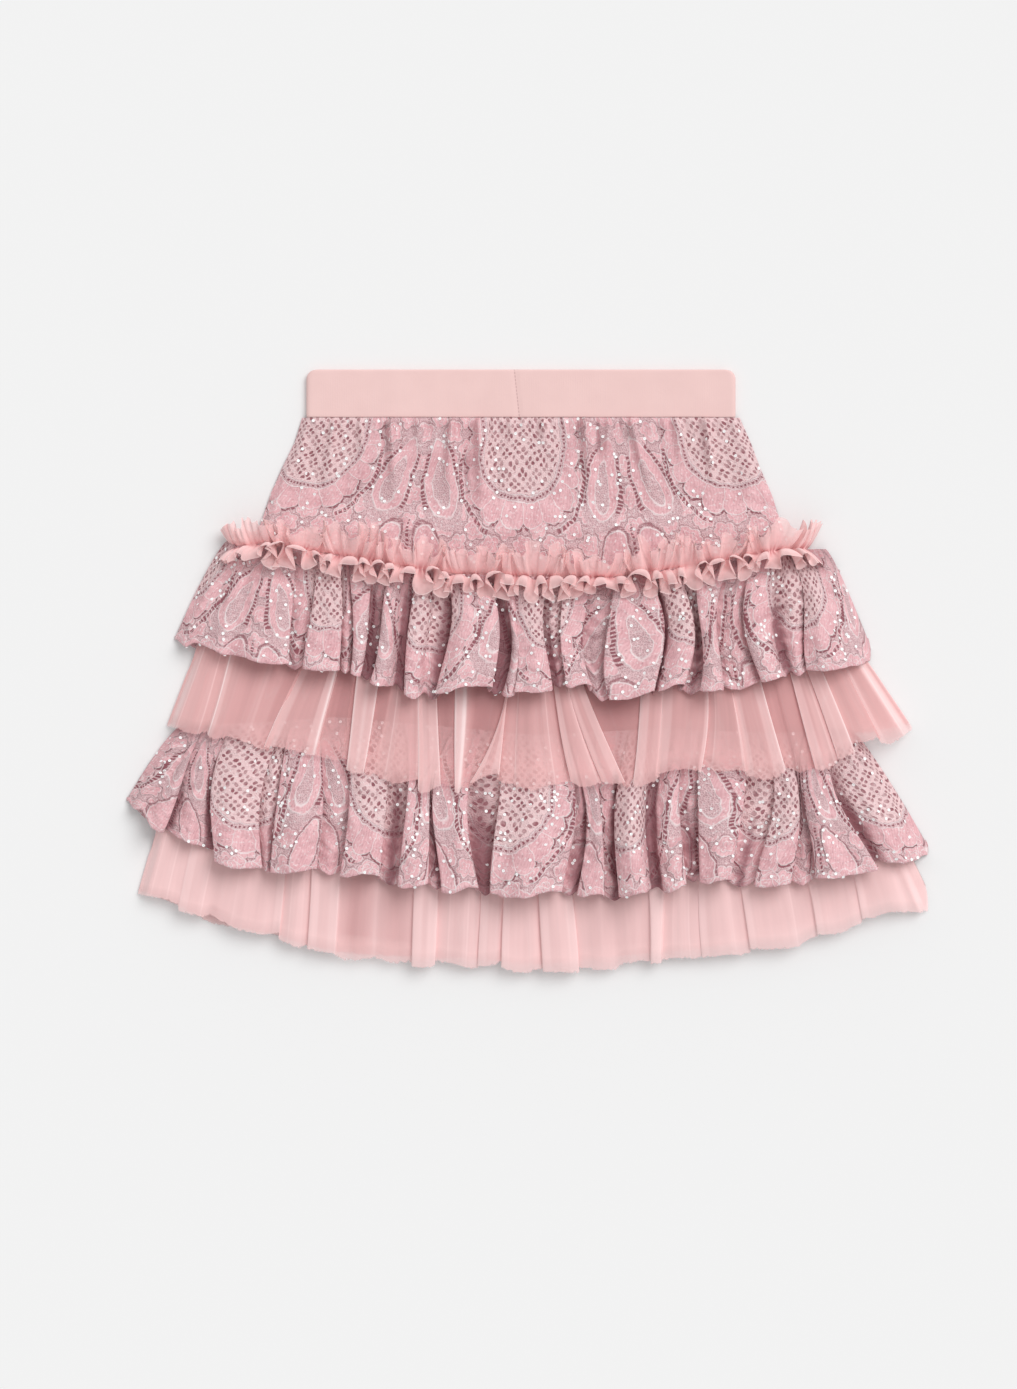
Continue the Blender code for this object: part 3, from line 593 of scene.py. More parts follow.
def tuck_shift(cloth, along, seed):
    """Narrow folds laid over themselves: a shift across and a rise, by the place along the hem."""
    across = np.zeros_like(along)
    up = np.zeros_like(along)
    if not cloth.tucks:
        return across, up
    draw = np.random.RandomState(seed)
    middle = along.min() + cloth.tucks
    while middle < along.max() - cloth.tucks:
        width = cloth.tuck_size * draw.uniform(0.6, 1.5)
        fold = draw.uniform(1.2, 2.3)
        lift = draw.uniform(0.6, 1.4) * draw.choice((-1.0, 1.0))
        near = (along - middle) / width
        bump = near * np.exp(-2.0 * near * near)
        across -= fold * width * bump
        up += lift * 1.6 * bump
        middle += cloth.tucks * draw.uniform(0.5, 1.7)
    return across, up


def fold_feet(fold, index, step, spread, cloth, swell, seed):
    """Left and right feet of each fold, which sway a little on their way down to the hem."""
    last = len(fold["seam"]) - 2
    feet = []
    for edge in (index, index + 1):
        calm = np.minimum(1.0, np.minimum(edge, last + 1 - edge))
        sway = cloth.sway * np.sin(math.pi * step ** 0.8) * calm
        sway = sway * ripple(edge * 15.0, step * 105.0, 78.0, seed + 1)
        bow = 4.0 * step * (1.0 - step) * fold["bow"][edge]
        feet.append(mix(fold["seam"][edge], fold["hem"][edge], spread) + sway + bow)
    over_left, over_right = fold["over_left"], fold["over_right"]
    before = np.maximum(index - 1, 0)
    after = np.minimum(index + 1, last + 1)
    room = over_left[index] - np.where(index > 0, over_right[before], 0.0)
    return feet[0] + room * swell, feet[1] + (over_left[after] - over_right[index]) * swell


def fold_hem(fold, index, place, hem_x, height, cloth, seed):
    """Depth of the hem: it dips at crests, opens at mouths, and is a little uneven."""
    hems, downs = fold["hem"], fold["down"]
    hem = np.interp(hem_x, 0.5 * (hems[1:] + hems[:-1]), downs[:-1])
    mouth = 2.0 * fold["mouth"][index] * np.clip(place * 1.6 - 0.5, 0.0, 1.0)
    mouth = mouth * ease((1.0 - place) / 0.15)
    hem = hem + (cloth.drop - mouth) * (height - 0.5)
    hem = hem + cloth.wavy * ripple(hem_x, 0.0, 26.0, seed + 8)
    hem = hem + 0.4 * cloth.wavy * ripple(hem_x, 0.0, 11.0, seed + 9)
    return hem + cloth.edge * np.abs(np.sin(math.pi * hem_x / 4.3))


def fine_relief(cloth, seam_x, hem_x, step, height, seed):
    """Height of the gathers at the seam, and of the creases and crumples below it."""
    gather = cloth.gather * (1.0 - ease(step / 0.35))
    gather = gather * (0.6 + 0.4 * ripple(seam_x, 0.0, 40.0, seed + 2))
    uneven = 1.8 * ripple(seam_x, 0.0, 30.0, seed + 3)
    z = gather * (1.0 + np.sin(2.0 * math.pi * seam_x / cloth.gather_wave + uneven)) * 0.5
    crease = ripple(hem_x, step * 18.0, cloth.crease_wave, seed + 4)
    z = z + cloth.crease * ease(step * 3.0) * (crease + 0.7) * (0.4 + 0.6 * height)
    z = z + cloth.crumple * crinkle(hem_x, step * 90.0, 15.0, seed + 6)
    return z + 0.45 * cloth.crumple * crinkle(hem_x, step * 110.0, 7.0, seed + 7)


def tier_front(tier, back, cloth, turn, step, seed):
    """Points of a tier's front.  turn counts the folds from the left side, in a row; step runs
    from the seam, 0, to the hem, 1, in a column."""
    fold = {name: column(tier.folds, name) for name in Fold._fields}
    seams, hems, downs = fold["seam"], fold["hem"], fold["down"]
    index = np.clip(turn.astype(int), 0, len(tier.folds) - 2)
    place = turn - index

    spread = step ** tier.spread
    seam_x = mix(seams[index], seams[index + 1], place)
    hem_x = mix(hems[index], hems[index + 1], place)
    seam = look_up(tier.seam, "x", "down", seam_x)
    rough = mix(seam, downs[index], step)
    inside = heap(mix(seam_x, hem_x, spread), rough)
    rise = look_up(tier.lie, "down", "rise", rough) * mix(0.35, 1.0, inside)
    swell = cloth.lap * rise / column(tier.lie, "rise").max()

    left, right = fold_feet(fold, index, step, spread, cloth, swell, seed)
    x, height = fold_profile(place, left, right, fold["over_left"][index] * swell,
                             fold["over_right"][index] * swell, cloth.wall, cloth.crown)
    down = mix(seam, fold_hem(fold, index, place, hem_x, height, cloth, seed), step)
    floor = mix(look_up(tier.lie, "down", "side", down), look_up(tier.lie, "down", "middle", down),
                inside)
    z = floor + HALF_WALL + rise * fold["rise"][index] * height
    z = z + fine_relief(cloth, seam_x, hem_x, step, height, seed)
    shift, tuck = tuck_shift(cloth, hem_x, seed)
    x = x + shift * ease(step * 4.0) * height
    z = z + tuck * ease(step * 4.0) * height
    x, z = soften(x, cloth.soften), soften(z, cloth.soften)

    for side, sign in ((0, 1.0), (-1, -1.0)):
        side_x = mix(seams[side], hems[side], spread)
        side_down = mix(look_up(tier.seam, "x", "down", seams[side]), downs[side], step)
        edge = back.held * (1.0 - back_drop(back, side_x, side_down)) + 2.2
        z = mix(edge, z, ease((x - side_x) * sign / SIDE_TUCK))
    return x, soften(down, cloth.soften), z


def open_share(tier, turn):
    """1 in the gaps between the folds of a sheer tier, where a single stretched layer lies deep."""
    index = np.clip(turn.astype(int), 0, len(tier.folds) - 2)
    rise = column(tier.folds, "rise")[index]
    low = np.clip((0.32 - rise) / 0.2, 0.0, 1.0)
    return low * np.sin(math.pi * (turn - index)) ** 0.5


def lip_share(tier, turn, wall):
    """1 along the turned edge of each fold of a sheer tier, and less where the cloth doubles
    back under it."""
    folds = tier.folds
    index = np.clip(turn.astype(int), 0, len(folds) - 2)
    place = turn - index
    width = (column(folds, "hem")[index + 1] - column(folds, "hem")[index]) / (1.0 - 2.0 * wall)
    high = column(folds, "rise")[index] > 0.32
    total = np.zeros_like(turn)
    for over, inward in (("over_left", place - wall), ("over_right", 1.0 - wall - place)):
        gone = inward * width
        doubled = ease(gone + 1.0) * ease((7.0 - gone) / 1.5)
        band = np.exp(-(gone / 0.8) ** 2) + 0.2 * doubled
        total = total + band * np.where(column(folds, over)[index] > 0, 1.0, 0.25)
    return np.where(high, total, 0.0)


def hollow(z, size):
    """How far each point lies below the folds on its two sides, from 0 to 1: the share of painted
    shade that it gets.
    """
    before, after = z.copy(), z.copy()
    for shift in range(1, size.reach + 1):
        before[:, shift:] = np.maximum(before[:, shift:], z[:, :-shift])
        after[:, :-shift] = np.maximum(after[:, :-shift], z[:, shift:])
    return ease((np.minimum(before, after) - z - size.start) / size.depth)


def tier_back(tier, back, across, step):
    """Points of a tier's back, pressed flat under it.  across runs from the left side, 0, to 1."""
    folds = tier.folds
    seam_x = mix(folds[0].seam + BACK_NARROWER, folds[-1].seam - BACK_NARROWER, across)
    hem_x = mix(folds[0].hem + BACK_NARROWER, folds[-1].hem - BACK_NARROWER, across)
    seam = look_up(tier.seam, "x", "down", seam_x)
    hem = look_up(folds, "hem", "down", hem_x) - BACK_SHORTER
    down = mix(seam, hem, step)
    x = mix(seam_x, hem_x, step ** tier.spread)
    fall = ease(back_drop(back, mix(seam_x, hem_x, 0.6), down))
    ridge = np.zeros_like(across)
    for number in range(back.pleats):
        middle = (number + 0.5 + 0.18 * math.sin(2.4 * number)) / back.pleats
        ridge = ridge + np.clip(1.0 - np.abs(across - middle) * back.pleats / 0.16, 0.0, 1.0)
    z = back.held * (1.0 - fall) + HALF_WALL + ease(ridge) * mix(0.25, 1.0, fall) * PLEAT_RISE
    return x, down, z


def even_turns(shape, count, pitch):
    """Places for the columns of a sheet, an even distance apart along its hem."""
    dense = np.linspace(0.0, count, 6000)[None, :]
    x, down, z = shape(dense, np.array([[1.0]]))
    gone = np.hypot(np.hypot(np.diff(x[0]), np.diff(z[0])), np.diff(down[0]) * 0.3)
    along = running(gone)
    number = int(round(along[-1] / pitch))
    return np.interp(np.linspace(0.0, along[-1], number + 1), along, dense[0])[None, :]


def bend(first, second, edge, outward, parts=3):
    """Columns that carry a sheet round its side, from the edge of one layer to the other's."""
    first = [part[:, edge] for part in first]
    second = [part[:, edge] for part in second]
    reach = 0.5 * outward * np.abs(first[2] - second[2])
    columns = []
    for number in range(1, parts + 1):
        share = number / (parts + 1.0)
        x, down, z = (mix(a, b, share) for a, b in zip(first, second))
        columns.append((x + reach * math.sin(math.pi * share), down, z))
    return [np.stack(part, axis=1) for part in zip(*columns)]


def tube(front, back):
    """Join a front and a back into one ring of columns, with the length of cloth round it."""
    layers = (front, bend(front, back, -1, 1.0), [part[:, ::-1] for part in back],
              bend(back, front, 0, -1.0), [part[:, :1] for part in front])
    x, down, z = (np.concatenate(parts, axis=1) for parts in zip(*layers))
    return (x, down, z), running(np.hypot(np.diff(x[-1]), np.diff(z[-1])))


def full_grid(points):
    """Each part of the points as a whole grid of its own."""
    return [part.copy() for part in np.broadcast_arrays(*points)]


def roll_hem(points, down):
    """Turn the hem under by a thread's thickness.  down is the length of cloth to each row."""
    x, depth, z = points
    rows = [(x[-1], depth[-1] + row.down, z[-1] + row.up) for row in HEM_ROLL]
    points = tuple(np.vstack((part,) + turned) for part, turned in zip(points, zip(*rows)))
    return points, np.concatenate((down, down[-1] + column(HEM_ROLL, "cloth")))


# --------------------------------------------------------------------------- making objects

def waist_middle():
    """Where x and down start in the row frame: the middle of the waistband's top edge."""
    low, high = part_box("waistband_front")
    return 0.5 * (low.x + high.x), high.y


WAIST_X, WAIST_Y = waist_middle()


def to_row(x, down, z):
    """Points in the row frame, in metres, from places on the skirt in millimetres."""
    return np.stack((WAIST_X + x * MM, WAIST_Y - down * MM, z * MM), axis=-1)


def cloth_sheet(name, points, along, steps, stored):
    """Lay a flat grid of cloth, move its points to where the sheet lies, and sew it into a tube.

    along and steps are lengths of cloth to each column and row, and stored holds the values that
    the material reads, by name."""
    x, down, z = points
    z = np.maximum(z, FLOOR_CLEAR)
    rows, columns = x.shape
    bpy.ops.object.select_all(action='DESELECT')
    bpy.ops.mesh.primitive_grid_add(x_subdivisions=columns - 1, y_subdivisions=rows - 1, size=1.0)
    item = bpy.context.object
    item.name = name
    mesh = item.data
    mesh.name = name
    if len(mesh.vertices) != rows * columns:
        raise RuntimeError(name + ": the flat cloth has another number of points")
    mesh.vertices.foreach_set("co", to_row(x[::-1], down[::-1], z[::-1]).reshape(-1))
    corner = np.empty(len(mesh.loops), dtype=np.int32)
    mesh.loops.foreach_get("vertex_index", corner)
    flat = np.stack((along[corner % columns] * MM, steps[::-1][corner // columns] * MM), axis=-1)
    layer = mesh.uv_layers.active or mesh.uv_layers.new(name="cut")
    layer.name = "cut"
    layer.data.foreach_set("uv", flat.reshape(-1))
    for key, values in stored.items():
        attribute = mesh.attributes.new(key, 'FLOAT', 'POINT')
        attribute.data.foreach_set("value", values[::-1].reshape(-1).astype(np.float32))
    bpy.ops.object.mode_set(mode='EDIT')
    bpy.ops.mesh.select_all(action='SELECT')
    bpy.ops.mesh.remove_doubles(threshold=0.000001)
    bpy.ops.object.mode_set(mode='OBJECT')
    mesh.update()
    mesh.shade_smooth()
    return item


def veil(item, cover):
    """Store how closely a sheer sheet covers what lies under it: more where it stands on edge or
    doubles back, less where it is stretched."""
    mesh = item.data
    count = len(mesh.vertices)
    normals = np.empty(count * 3)
    mesh.vertices.foreach_get("normal", normals)
    upright = np.clip(np.abs(normals.reshape(-1, 3)[:, 2]), 0.12, 1.0)
    stored = {}
    for name in ("thin", "lip"):
        stored[name] = np.zeros(count)
        if name in mesh.attributes:
            mesh.attributes[name].data.foreach_get("value", stored[name])
    layers = (1.0 + 1.6 * stored["lip"]) / upright
    values = 1.0 - (1.0 - cover * (1.0 - 0.35 * stored["thin"])) ** layers
    layer = mesh.attributes.new("cover", 'FLOAT', 'POINT')
    layer.data.foreach_set("value", values.astype(np.float32))


def finish_cloth(item, material, flat):
    """Give a sheet its material, attach it to the root and hide the solids that it stands for.
    flat, the size of its cut cloth, is not used.
    """
    item.data.materials.append(material)
    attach(item, "root")
    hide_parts(item.name + "_front", item.name + "_back")
    flat[0] * MM
    flat[1] * MM


# --------------------------------------------------------------------------- materials

def colour(text):
    """Linear colour with alpha from an sRGB hex code."""
    parts = [int(text[i:i + 2], 16) / 255.0 for i in (1, 3, 5)]
    linear = [c / 12.92 if c <= 0.04045 else ((c + 0.055) / 1.055) ** 2.4 for c in parts]
    return (*linear, 1.0)


class Term:
    """What a node gives, with ordinary arithmetic on it by math nodes."""

    def __init__(self, socket):
        self.socket = socket

    def output(self, name):
        """Another output of the same node."""
        return Term(self.socket.node.outputs[name])

    def make(self, operation, *others, clamp=False):
        inputs = dict(enumerate((self,) + others))
        return add_node(self.socket.id_data, "ShaderNodeMath", inputs,
                        operation=operation, use_clamp=clamp)

    def __add__(self, other):
        return self.make("ADD", other)

    def __sub__(self, other):
        return self.make("SUBTRACT", other)

    def __mul__(self, other):
        return self.make("MULTIPLY", other)

    def __truediv__(self, other):
        return self.make("DIVIDE", other)

    def size(self):
        return self.make("ABSOLUTE")

    def at_least(self, *others):
        """The greatest of this and the others."""
        result = self
        for other in others:
            result = result.make("MAXIMUM", other)
        return result

    def at_most(self, other):
        return self.make("MINIMUM", other)

    def length_with(self, other):
        return (self * self + other * other).make("SQRT")

    def share(self, shift=0.0):
        """This moved by a shift and kept between 0 and 1."""
        return self.make("ADD", shift, clamp=True)

    def within(self, half, soft=0.35):
        """1 where this lies within a half-width of zero, fading over a soft edge."""
        return ((self.size() - half) * (-1.0 / soft)).share(0.5)

    def below(self, edge=0.0, soft=0.4):
        """1 where this is less than an edge."""
        return ((self - edge) * (-1.0 / soft)).share(0.5)

    def above(self, edge=0.0, soft=0.4):
        """1 where this is more than an edge."""
        return self.below(edge, -soft)

    def cell(self, pitch, shift=0.0):
        """Distance from the middle of the nearest of evenly spaced cells."""
        turned = self / pitch + shift
        return (turned - turned.make("ROUND")) * pitch


def feed(item, inputs):
    """Give a node's inputs their values, or link them to other nodes."""
    for key, value in inputs.items():
        if isinstance(value, Term):
            value.socket.id_data.links.new(value.socket, item.inputs[key])
        else:
            item.inputs[key].default_value = value


def add_node(tree, kind, inputs=None, output=0, **settings):
    """Add a node with its options and inputs, and give one of its outputs."""
    item = tree.nodes.new(kind)
    for name, value in settings.items():
        setattr(item, name, value)
    feed(item, inputs or {})
    return Term(item.outputs[output])


def lay_over(tree, ground, *layers):
    """Lay colours over a ground one after another, each by its own share."""
    for share, tint in layers:
        ground = add_node(tree, "ShaderNodeMix", {0: share, 6: ground, 7: tint}, 2,
                          data_type='RGBA', clamp_factor=True)
    return ground


def grains(tree, place, rows):
    """Uneven patches of each size in a table, from 0 to 1, by their names."""
    found = {}
    for row in rows:
        found[row.name] = add_node(tree, "ShaderNodeTexNoise", {
            "Vector": place, "Scale": 1000.0 / row.size, "Detail": row.detail})
    return found


def new_material(name):
    """A material with its nodes' tree and its shader."""
    material = bpy.data.materials.new(name)
    material.use_nodes = True
    tree = material.node_tree
    return material, tree, tree.nodes["Principled BSDF"]


def cut_place(tree):
    """Place on the flat cut cloth, across and down, in millimetres, and in metres as one vector."""
    uv = add_node(tree, "ShaderNodeUVMap", uv_map="cut")
    across = add_node(tree, "ShaderNodeSeparateXYZ", {0: uv})
    return across * 1000.0, across.output(1) * 1000.0, uv


def lace_fields(u, v, fan_depth, patchy):
    """Masks of the lace's motifs: close cloth, holes with a dotted line of painted shade just
    outside each shape, cord, and the net of the fans.

    Each motif is a distance to its outline, which is less than 0 inside it."""
    x = u.cell(REPEAT).size()
    low = (v - fan_depth).at_least(0.0)
    fan = x.length_with(low) - FAN
    round_it = low.make("ARCTAN2", x) * FAN + (v - fan_depth).at_most(0.0)

    # Petals round the fan, longer at its foot
    reach = (round_it / 30.0).share() * 11.0 + 6.5
    turn = round_it - 5.0 * LOBE
    lobe = (turn * (math.pi / LOBE)).make("SINE").size().make("POWER", 0.6)
    petal_end = fan - FAN_RIM - reach * 0.66 - lobe * 4.6
    petal = petal_end.below() * fan.above(FAN_RIM)
    split = turn.cell(LOBE).within(0.2) * petal

    # Ring of small holes between two cords
    ring_cord = (fan - 0.2).within(0.28).at_least((fan - FAN_RIM).within(0.26))
    ring_hole = (fan - 2.1).within(0.6) * round_it.cell(2.6).within(0.6)

    # Net of the fan: holes in fours
    a = ((x + v) * 0.707).cell(NET).size()
    b = ((x - v) * 0.707).cell(NET).size()
    net_hole = (a - 1.65).length_with(b - 1.65).below(1.22) * fan.below(-1.6)
    net_hole = net_hole * (patchy * 0.5 + 0.5)

    # Ladder of bars outside the petals
    ladder = fan - reach - 8.6
    flank = (round_it - 17.0).within(16.0, 2.0)
    bar = ladder.within(1.3) * (round_it * 1.65).cell(2.8).within(0.85) * flank
    ladder_cord = (ladder.size() - 1.9).within(0.26) * flank

    # Leaning teardrop with a slot of fine net, and bars round its rim
    p = x - DROP.across
    q = v - DROP.down
    upright, lean = 0.956, 0.292          # cosine and sine of 17 degrees
    across = p * upright + q * lean
    along = q * upright - p * lean
    drop = (across / (along * 0.14 + DROP.half)).length_with(along / DROP.tall)
    outline = (drop - 1.0) * DROP.half
    slot = (across / (along * 0.1 + SLOT.half)).length_with((along - SLOT.down) / SLOT.tall)
    slot_edge = (slot - 1.0) * SLOT.half
    drop_cloth = outline.below() * slot_edge.above()
    drop_cord = outline.within(0.26).at_least(slot_edge.within(0.26))
    rim_hole = (outline - 1.9).within(1.1) * along.cell(2.7).within(0.8) * along.within(18.0, 2.0)

    # Leaves, buds and a line of holes below the teardrops
    line_hole = (x - 0.5 * REPEAT).within(0.8) * v.cell(2.5).within(0.7) * v.above(64.0, 3.0)
    leaf_down = v - LEAF.down
    leaf = ((x - LEAF.across + leaf_down * 0.25) / LEAF.half).length_with(leaf_down / LEAF.tall)
    leaf_edge = (leaf - 1.0) * LEAF.half
    bud = (x - BUD.across).length_with(v - BUD.down) - BUD.half

    # Small blossoms scattered over the rest of the ground
    blossoms = []
    for shift in (0.0, 0.5):
        across_it = u.cell(22.0, shift)
        down_it = v.cell(19.0, shift)
        petals = (down_it.make("ARCTAN2", across_it) * 2.5).make("SINE").size() * 1.8
        blossoms.append(across_it.length_with(down_it) - petals - 5.0)
    flower = blossoms[0].at_most(blossoms[1])
    taken = petal.at_least(outline.below(3.2), leaf_edge.below(1.6), fan.below(4.6))
    spare = taken * -1.0 + 1.0
    flower_cord = flower.within(0.24).at_least((flower + 3.2).within(0.3)) * spare

    # Dotted line of painted shade just outside each shape, in the holes' dark colour
    dots = round_it.cell(1.7).within(0.55).at_least(v.cell(1.9).within(0.6))
    rim = ((petal_end - 1.2).within(0.8) * 1.3).at_least(
        (leaf_edge - 1.0).within(0.5), (bud - 1.0).within(0.45),
        (flower - 0.9).within(0.35) * spare * 0.5) * dots

    cloth = petal.at_least(drop_cloth, leaf_edge.below(), bud.below(), flower.below() * spare)
    cord = (petal_end.within(0.4) * fan.above(3.0)).at_least(
        ring_cord, drop_cord, leaf_edge.within(0.26), bud.within(0.26), ladder_cord, split,
        flower_cord)
    edge_holes_and_painted_shade = rim_hole.at_least(rim * 0.75) * (cloth * -1.0 + 1.0)
    hole = ring_hole.at_least(net_hole, bar, edge_holes_and_painted_shade, line_hole)
    return cloth, cord, hole, fan.below(-0.5)


def lace_material(name, colours, fan_depth, start, hem):
    """Corded lace, knitted of nylon on a machine: close cloth in petals and drops, a ground of
    fine mesh, open holes, and a thicker silvery cord run in along the outlines.  It is matt, and
    paler where the yarn lies close.  Its holes show the lining's rose darkened by painted shade, a
    dotted line of painted shade runs just outside its shapes, and painted shade darkens it in the
    hollows between its folds and near its gathered seam.  start moves the repeat along the cloth,
    and hem is how far down a scalloped hem lies, or 0."""
    material, tree, shader = new_material(name)
    u, v, uv = cut_place(tree)
    grain = grains(tree, uv, LACE_GRAIN)
    u = u + start + (grain["drift"] - 0.5) * 8.0 + (
        (grain["shake"] - 0.5) * 2.6 + (grain["wobble"] - 0.5) * 4.5)
    v = v + (grain["drift_down"] - 0.5) * 7.0 + (
        (grain["shake_down"] - 0.5) * 2.6 + (grain["wobble_down"] - 0.5) * 4.5)
    open_hole = (grain["open"] * 4.0 - 1.5).share()
    cloth, cord, hole, net = lace_fields(u, v, fan_depth, open_hole)
    if hem:
        scallop = v * -1.0 + hem - (u * (math.pi / SCALLOP)).make("SINE").size() * 2.6 - 2.2
        cloth = cloth.at_least(scallop.below())
        cord = cord.at_least((scallop - 0.2).within(0.28))
        hole = hole * scallop.above(0.5)
    weave, mottle = grain["weave"], grain["mottle"]
    cells = add_node(tree, "ShaderNodeTexVoronoi", {"Vector": uv, "Scale": 1000.0 / MESH_CELL},
                     "Distance", feature='DISTANCE_TO_EDGE', voronoi_dimensions='2D')
    thread = cells.below(0.16, 0.2)
    stitch = (u * (2.0 * math.pi / STITCH) + v * 0.9 + mottle * 9.0).make("SINE")
    # painted shade: the lace goes towards a dark tint in the hollows between its folds and near its
    # gathered seam
    deep = add_node(tree, "ShaderNodeAttribute", output="Fac", attribute_name="deep")
    ground = lay_over(tree, colours.ground_dark,
                      ((thread * 0.45 + weave * 0.95).share(), colours.ground),
                      (net * 0.9, colours.net))
    close = lay_over(tree, colours.petal_low,
                     ((mottle * 1.5 + stitch * 0.16).share(-0.25), colours.petal))
    base = lay_over(tree, ground,
                    (cloth, close),
                    ((grain["fleck"] * 7.0 - 4.0).share() * 0.5, colours.ground_dark),
                    ((grain["pale"] * 7.0 - 3.95).share() * 0.65, colours.cord),
                    # holes in the lining's rose, darkened by painted shade, with the dotted line of
                    # painted shade round the shapes
                    (hole * 0.9, colours.hole),
                    (cord * ((mottle * 2.4 - 0.55).share() * 0.5 + 0.3), colours.cord),
                    # painted shade in the hollows of the folds and on the gathers at the seam
                    (deep * 0.8, colours.painted_shade_tint))
    height = cloth * 0.35 + cord * 0.2 - hole * 0.4 + weave * 0.5 + mottle * 1.6
    height = height + grain["felt"] * 1.6 + thread * (cloth * -0.25 + 0.25)
    bump = add_node(tree, "ShaderNodeBump", {"Strength": 0.8, "Distance": MM, "Height": height})
    feed(shader, {"Base Color": base, "Roughness": 0.75, "Specular IOR Level": 0.25,
                  "Normal": bump})
    return material


def sheer_material(name, tint, light, hem=0.0, width=0.0, deep=None):
    """Fine nylon tulle, a net too fine to show as holes, so it is a share of cover that grows
    where the sheet stands on edge or lies in folds, with silky streaks down it.  Where it covers
    closely and on the lips of its folds its colour goes towards a paler tint, which is painted
    light.

    Thin lines of painted highlight run down it for long fine creases, as lines of level of a
    stretched noise.  hem is how far down a tier's raw hem is, where the net thins out and frays a
    little.  width is that of a strip, whose two cut edges carry a painted highlight and whose
    pinched middle carries painted shade."""
    material, tree, shader = new_material(name)
    _, down, uv = cut_place(tree)
    cover, lip = (add_node(tree, "ShaderNodeAttribute", output="Fac", attribute_name=key)
                  for key in ("cover", "lip"))
    silk, crease = (
        add_node(tree, "ShaderNodeTexNoise", {
            "Vector": add_node(tree, "ShaderNodeMapping", {"Vector": uv, "Scale": scale}),
            "Scale": 1.0, "Detail": 2.0})
        for scale in (SILK_SCALE, CREASE_SCALE))
    # painted light: thin painted highlight lines down the creases, and a paler tint where the tulle
    # covers closely and on the lips of its folds
    line = (crease - 0.5).within(0.008, 0.012)
    share = ((cover * 2.2 - 1.25).share() + line * 0.1 + lip * lip * 0.5).share()
    veiled = (cover + (silk - 0.5) * 0.2).share()
    if width:
        # painted highlight along the strip's two cut edges, which are also less sheer
        rim = (down - width).above(-0.8, 0.8).at_least(down.below(0.6, 0.6) * 0.4) * 0.7
        share = (share * 0.6).at_least(rim)
        veiled = veiled.at_least(rim)
    base = lay_over(tree, tint, (share, light))
    if width:
        # painted shade, in streaks, where the strip's middle is pinched; the middle is also less
        # sheer
        off = (down - 0.5 * width).size()
        base = lay_over(tree, base, (off.below(4.0, 7.0) * (silk * 7.0 - 3.1).share() * 0.8, deep))
        veiled = veiled.at_least(off.below(5.0, 8.0) * 0.9)
    if hem:
        gone = down - hem
        frays = grains(tree, uv, FRAY_GRAIN)["fray"] * 3.6 - 1.2
        veiled = veiled * (gone.below(-5.0, 9.0) * 0.32 + 0.68)
        veiled = veiled * (gone + frays).below(0.0, 0.6)
    feed(shader, {"Base Color": base, "Alpha": veiled, "Roughness": 0.6,
                  "Specular IOR Level": 0.2, "Sheen Weight": 0.15, "Sheen Roughness": 0.4})
    return material


def lining_material(tint):
    """Plain woven lining of polyester, matt, with a fine even grain."""
    material, tree, shader = new_material("plain rose lining")
    place = add_node(tree, "ShaderNodeTexCoord", output="Object")
    speck = grains(tree, place, LINING_GRAIN)["speck"]
    bump = add_node(tree, "ShaderNodeBump", {"Strength": 0.4, "Distance": 0.1 * MM,
                                             "Height": speck})
    feed(shader, {"Base Color": tint, "Roughness": 0.8, "Specular IOR Level": 0.2,
                  "Normal": bump})
    return material


def band_material(tint, stitch, depth):
    """Elastic covered with smooth knit: soft and matt, with fine ribs, a slightly uneven colour,
    and a row of stitches in a shallow dent down its closing seam."""
    material, tree, shader = new_material("covered elastic")
    place = add_node(tree, "ShaderNodeTexCoord", output="Object")
    row_x = add_node(tree, "ShaderNodeSeparateXYZ", {0: place})
    x = (row_x - WAIST_X) * 1000.0
    down = (row_x.output(1) - WAIST_Y) * -1000.0
    grain = grains(tree, place, BAND_GRAIN)
    off = x - BAND_SEAM - down * (BAND_LEAN / depth)
    thread = off.within(0.3) * row_x.output(2).above(3.0 * MM, 0.4 * MM)
    thread = thread * down.cell(2.2).within(0.8)
    base = lay_over(tree, tint, (grain["patchy"] * 0.25, stitch), (thread * 0.85, stitch))
    rib = (x * (2.0 * math.pi / 1.1)).make("SINE") * 0.12 + grain["knit"]
    bump = add_node(tree, "ShaderNodeBump", {"Strength": 0.35, "Distance": 0.2 * MM,
                                             "Height": rib + (off.size() / 3.0).share() * 3.0})
    feed(shader, {"Base Color": base, "Roughness": 0.8, "Specular IOR Level": 0.2,
                  "Sheen Weight": 0.15, "Normal": bump})
    return material


def even_material(name, tint, roughness, specular):
    """A finish with no pattern, for sequins too small to show one and for the floor."""
    material, _, shader = new_material(name)
    feed(shader, {"Base Color": tint, "Roughness": roughness, "Specular IOR Level": specular})
    return material


# --------------------------------------------------------------------------- settings

def cloth_colour(label, code):
    """A colour that a user can change, given here as an sRGB hex code."""
    return bpy.props.FloatVectorProperty(name=label, description=label + " of the skirt",
                                         subtype='COLOR', size=4, min=0.0, max=1.0,
                                         default=colour(code))


def length_setting(label, default, least, text):
    """A length that a user can change, given here in millimetres and kept in metres."""
    return bpy.props.FloatProperty(name=label, description=text, default=default * MM,
                                   min=least * MM, unit='LENGTH', precision=4)


def cover_setting(label, default, text):
    """A share that a user can change."""
    return bpy.props.FloatProperty(name=label, description=text, default=default, min=0.05,
                                   max=0.98, subtype='FACTOR')


def in_mm(metres):
    """A setting in millimetres, without the last digits that a float loses."""
    return round(metres / MM, 4)


